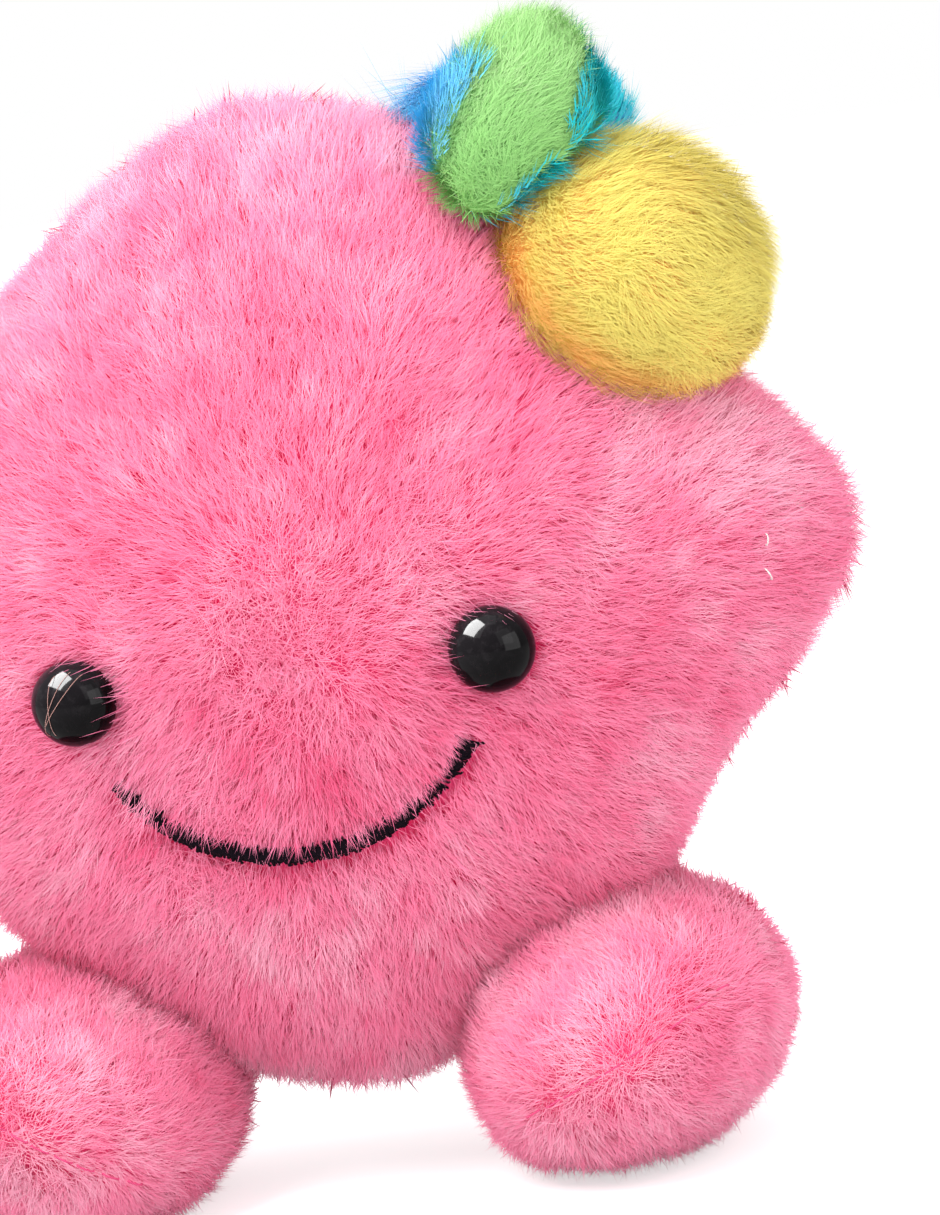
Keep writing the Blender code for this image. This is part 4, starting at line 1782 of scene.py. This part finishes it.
@dataclass(frozen=True)
class Spot:
    """A soft spot, paler or darker, on both sides of the face, placed from the point between the eyes; the
    darker spots are painted shade.
    """

    aside: float
    up: float
    wide: float
    high: float
    paler: float

    def at(self, away: Points) -> Points:
        """How much paler the spot makes each place."""
        across = (np.abs(away[:, 0]) - self.aside) / self.wide
        return self.paler * np.exp(-np.hypot(across, (away[:, 2] - self.up) / self.high) ** 2)


@dataclass
class Star:
    """The star's body: its skin, its pile, its eyes and its smile."""

    cells: int = 26
    front_strands: int = 192000
    back_strands: int = 60000
    face_depth: float = 0.0265      # from the edge seam to the plane between the eyes
    nap_rise: float = 0.0057        # how far above the eyes the pile runs out from
    point_painted_light: float = 0.14        # how much paler the star's points are: painted light
    face: Vector = field(init=False)
    # Painted shade over the mouth and where the body meets the legs, and a paler chin
    SPOTS = {
        "over the mouth": Spot(0.0, -0.014, 0.020, 0.008, -0.20),
        "chin": Spot(0.0, -0.028, 0.030, 0.008, 0.14),
        "at the legs": Spot(0.033, -0.034, 0.014, 0.006, -0.40),
    }

    def build(self, strands: StrandTree, stitches: StitchTree) -> None:
        """Makes the body and all that its face carries.

        Args:
            strands: The tree that grows strands.
            stitches: The tree that lays stitches.
        """
        covers = ("body_front_panel", "body_back_panel")
        skin = Skin("body_skin", covers, ("body_filling",), PINK, self.cells, shape=self.lumps,
                    fill=0.75).build()
        eyes = [Eye("left"), Eye("right")]
        eye_height = (eyes[0].seat().z + eyes[1].seat().z) / 2
        smile = Smile(eye_height)
        gloss = EyeFinish().material()
        for eye in eyes:
            eye.build(gloss)
        thread = ThreadFinish("mouth_thread", dye(4, 2, 6), dye(24, 14, 24), sheen=0.0, gloss=0.06)
        smile.build(stitches, thread.material())
        clearings = tuple(Clearing(eye.seat(), eye.axis, eye.radius, 0.0026, 2.2) for eye in eyes)
        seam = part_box("body_front_panel")[1].y
        self.face = Vector((0.0, seam - self.face_depth, eye_height))
        middle = Vector((0.0, seam, eye_height + self.nap_rise))
        Coat("body_front_pile", skin, PINK, self.front_strands, FrontNap(middle), seed=11,
             parts=("lap", "cheeks", "brow", "crown"), where=lambda points, normals: points[:, 1] < seam,
             tone=self.tone, trim=self.trim, openings=(*clearings, smile.parting())).grow(strands)
        Coat("body_back_pile", skin, PINK, self.back_strands, BackNap(middle), seed=12,
             where=lambda points, normals: points[:, 1] >= seam, trim=self.trim,
             breadth=0.00025).grow(strands)

    def tone(self, points: Points, normals: Points) -> Points:
        """Paler towards the star's points, as painted light, and the face's spots: painted shade over the
        mouth and at the legs, and a paler chin.

        Args:
            points: The places, one a row.
            normals: The skin's normals there.

        Returns:
            By how much each place is paler.
        """
        away = points - np.array(self.face)
        # Painted light: the star's points are paler
        paler = self.point_painted_light * smooth_step(np.hypot(away[:, 0], away[:, 2]), 0.030, 0.058)
        for spot in self.SPOTS.values():
            paler = paler + spot.at(away)
        return paler

    def trim(self, points: Points, normals: Points) -> Points:
        """Longer at the star's points and under the seat.

        Args:
            points: The places, one a row.
            normals: The skin's normals there.

        Returns:
            How many times as long each place's strands are.
        """
        away = points - np.array(self.face)
        far = np.hypot(away[:, 0], away[:, 2] * 1.05)
        tips = 0.25 * smooth_step(far, 0.050, 0.064)
        right_arm = 0.45 * smooth_step(points[:, 0], 0.056, 0.064)
        seat = 0.35 * smooth_step(-points[:, 2], -0.020, -0.010)
        return 1.0 + tips + right_arm + seat

    @staticmethod
    def lumps(points: Points, normals: Points) -> Points:
        """The stuffing's unevenness."""
        return normals * (0.0006 * Waves(5, 0.024).at(points))[:, None]


@dataclass(frozen=True)
class Lamp:
    """One soft box, aimed at the toy."""

    name: str
    azimuth: float
    elevation: float
    distance: float
    size: float
    power: float
    only: tuple[str, ...] = ()      # the pieces that it lights, or all

    def build(self, target: Vector) -> None:
        """Puts the lamp up.

        Args:
            target: What it is aimed at.
        """
        light = bpy.data.lights.new(self.name, "AREA")
        light.shape = "SQUARE"
        light.size = self.size
        light.energy = self.power
        obj = in_scene(self.name, light)
        back = direction(self.azimuth, self.elevation)
        obj.location = target + back * self.distance
        obj.rotation_mode = "QUATERNION"
        obj.rotation_quaternion = back.to_track_quat("Z", "Y")
        if self.only:
            lit = bpy.data.collections.new(self.name + "_lights")
            for piece in self.only:
                lit.objects.link(bpy.data.objects[piece])
            obj.light_linking.receiver_collection = lit


@dataclass
class Studio:
    """Floor, world, lamps and the camera at the photograph's angle."""

    lamps: tuple[Lamp, ...] = (
        Lamp("key", -38.0, 52.0, 0.70, 0.45, 3.9),
        Lamp("fill", 48.0, 26.0, 0.80, 0.50, 1.9),
        Lamp("top", 10.0, 84.0, 0.75, 0.50, 2.0),
        Lamp("window", -60.0, 58.0, 0.50, 0.36, 60.0, only=("eye_left_dome", "eye_right_dome")),
        Lamp("panel", 62.0, 8.0, 0.60, 0.45, 4.0, only=("eye_left_dome", "eye_right_dome")),
    )
    floor_size: float = 3.0
    floor_colour: Colour = (0.80, 0.80, 0.80)
    floor_lift: float = 0.60      # what the floor adds for the camera, so that it shows white
    ambient: float = 0.80
    yaw: float = 8.0
    elevation: float = 8.0
    roll: float = 8.6
    distance: float = 0.8
    picture: tuple[int, int] = (940, 1215)
    pixel: float = 0.0001136      # what one pixel of the photograph stands for at the face
    face_pixel: tuple[float, float] = (280.0, 679.0)

    @staticmethod
    def shown_rays(graph: Graph) -> Socket:
        """Tells the rays that show the background as such: seen, mirrored or seen through.

        Args:
            graph: What the nodes go into.

        Returns:
            1 for such rays, else 0.
        """
        path = graph.node("ShaderNodeLightPath").outputs
        total = path["Is Camera Ray"]
        for other in ("Is Glossy Ray", "Is Transmission Ray"):
            total = graph.math("MAXIMUM", total, path[other])
        return total

    def floor(self) -> None:
        """A plain pale floor that keeps the toy's shadow."""
        half = self.floor_size / 2
        rim = np.array([(-half, -half, 0), (half, -half, 0), (half, half, 0), (-half, half, 0)])
        shader = Shader("floor", {
            "Base Color": (*self.floor_colour, 1.0), "Roughness": 1.0, "Specular IOR Level": 0.0,
            "Emission Color": (1.0, 1.0, 1.0, 1.0),
        })
        lift = shader.math("MULTIPLY", self.shown_rays(shader), self.floor_lift)
        shader.link(lift, shader.principled.inputs["Emission Strength"])
        mesh_object("floor", from_faces("floor", rim, [(0, 1, 2, 3)]), shader.material)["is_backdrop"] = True

    def world(self) -> None:
        """Even pale light all round, and plain white where the background shows."""
        world = bpy.data.worlds.new("studio")
        world.use_nodes = True
        bpy.context.scene.world = world
        graph = Graph(world.node_tree)
        shade = graph.tree.nodes["Background"]
        shade.inputs["Color"].default_value = (1.0, 1.0, 1.0, 1.0)
        strength = graph.node("ShaderNodeMapRange", {
            "Value": self.shown_rays(graph), "To Min": self.ambient, "To Max": 1.0,
        })
        graph.link(strength.outputs["Result"], shade.inputs["Strength"])

    def camera(self, face: Vector) -> None:
        """The camera, placed so that the face shows where the photograph has it.

        Args:
            face: The middle of the face, between the eyes.
        """
        wide, high = self.picture
        back = direction(self.yaw, self.elevation)
        roll = Matrix.Rotation(math.radians(-self.roll), 3, "Z")
        turned = back.to_track_quat("Z", "Y").to_matrix() @ roll
        right, up = turned.col[0], turned.col[1]
        beside = (self.face_pixel[0] - wide / 2) * self.pixel
        above = (high / 2 - self.face_pixel[1]) * self.pixel
        target = face - right * beside - up * above
        lens = bpy.data.cameras.new("camera")
        lens.sensor_fit = "AUTO"
        lens.sensor_width = 36.0
        lens.lens = lens.sensor_width * self.distance / (high * self.pixel)
        lens.clip_start = 0.01
        obj = in_scene("camera", lens)
        obj.matrix_world = Matrix.Translation(target + back * self.distance) @ turned.to_4x4()
        bpy.context.scene.camera = obj

    def build(self, face: Vector) -> None:
        """Sets the whole studio up.

        Args:
            face: The middle of the face, between the eyes.
        """
        bpy.context.scene.view_settings.view_transform = "Standard"
        self.floor()
        self.world()
        for lamp in self.lamps:
            lamp.build(face)
        self.camera(face)


def dress_inner_nodes() -> None:
    """Gives what lies inside its own materials."""
    fibre = MatteFinish("fibre", dye(214, 211, 204), dye(246, 244, 238), 420.0, 0.0008, 0.95).material()
    cloth = MatteFinish("pouch_cloth", dye(196, 186, 170), dye(222, 214, 200), 1600.0, 0.0002).material()
    moulded = MatteFinish("washer", dye(226, 224, 218), dye(238, 236, 230), 700.0, 0.00003, 0.45).material()
    for name, node in frame["nodes"].items():
        finish = moulded if "washer" in name else cloth if "pouch" in name else fibre
        if "filling" in name or finish is not fibre:
            dress(node.data, finish)


def main() -> None:
    """Builds the toy's looks and the studio round it."""
    logging.basicConfig(level=logging.INFO, format="%(name)s %(message)s")
    for other in list(bpy.data.objects):
        if other.name in ("Cube", "Light", "Camera"):
            bpy.data.objects.remove(other)
    strands = StrandTree()
    stitches = StitchTree(Arch())
    star = Star()
    star.build(strands, stitches)
    sewing = ThreadFinish("sewing_thread", dye(206, 52, 104), dye(236, 92, 140)).material()
    for side, tilt in ((Side.LEFT, 34.0), (Side.RIGHT, 25.0)):
        foot = Foot(side, tilt)
        foot.build(strands)
        foot.seam().build(surface_of(foot.covers), stitches, sewing)
    body = surface_of(("body_front_panel", "body_back_panel"))
    Tail(body).build(strands)
    white = ThreadFinish("loose_fibre", dye(222, 206, 206), dye(250, 244, 242), sheen=0.2).material()
    fibres = ((56.3, 71.1, 80.0, 1.3, 0.6), (56.0, 67.0, 118.0, 1.5, 0.7))
    LooseThreads("arm_loose_fibre", "white_fibre", fibres, 0.00020, -0.0002).build(body, stitches, white)
    stray = ThreadFinish("stray_hair", dye(168, 116, 108), dye(214, 170, 160), sheen=0.1).material()
    hair = StitchTree(Arch(14, 5, 0.004, 0.010))
    hairs = ((-26.0, 65.4, 62.0, 8.2, 3.0), (-25.2, 65.2, 47.0, 7.6, 2.6), (-26.6, 64.6, 84.0, 7.2, 2.4))
    LooseThreads("stray_hairs", "pink_plush", hairs, 0.00007, 0.0001).build(
        surface_of(("eye_left",)), hair, stray)
    for tree in (strands, stitches, hair):
        bpy.data.objects.remove(tree.single)
    dress_inner_nodes()
    Studio().build(star.face)
    sizes = {"cad": [list(corner) for corner in CAD_BOX],
             "visual": [list(corner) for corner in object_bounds()]}
    for key, box in sizes.items():
        LOG.info("%s box in mm: %s", key, np.round(np.array(box) * 1e3, 1).tolist())


if __name__ == "__main__":
    main()
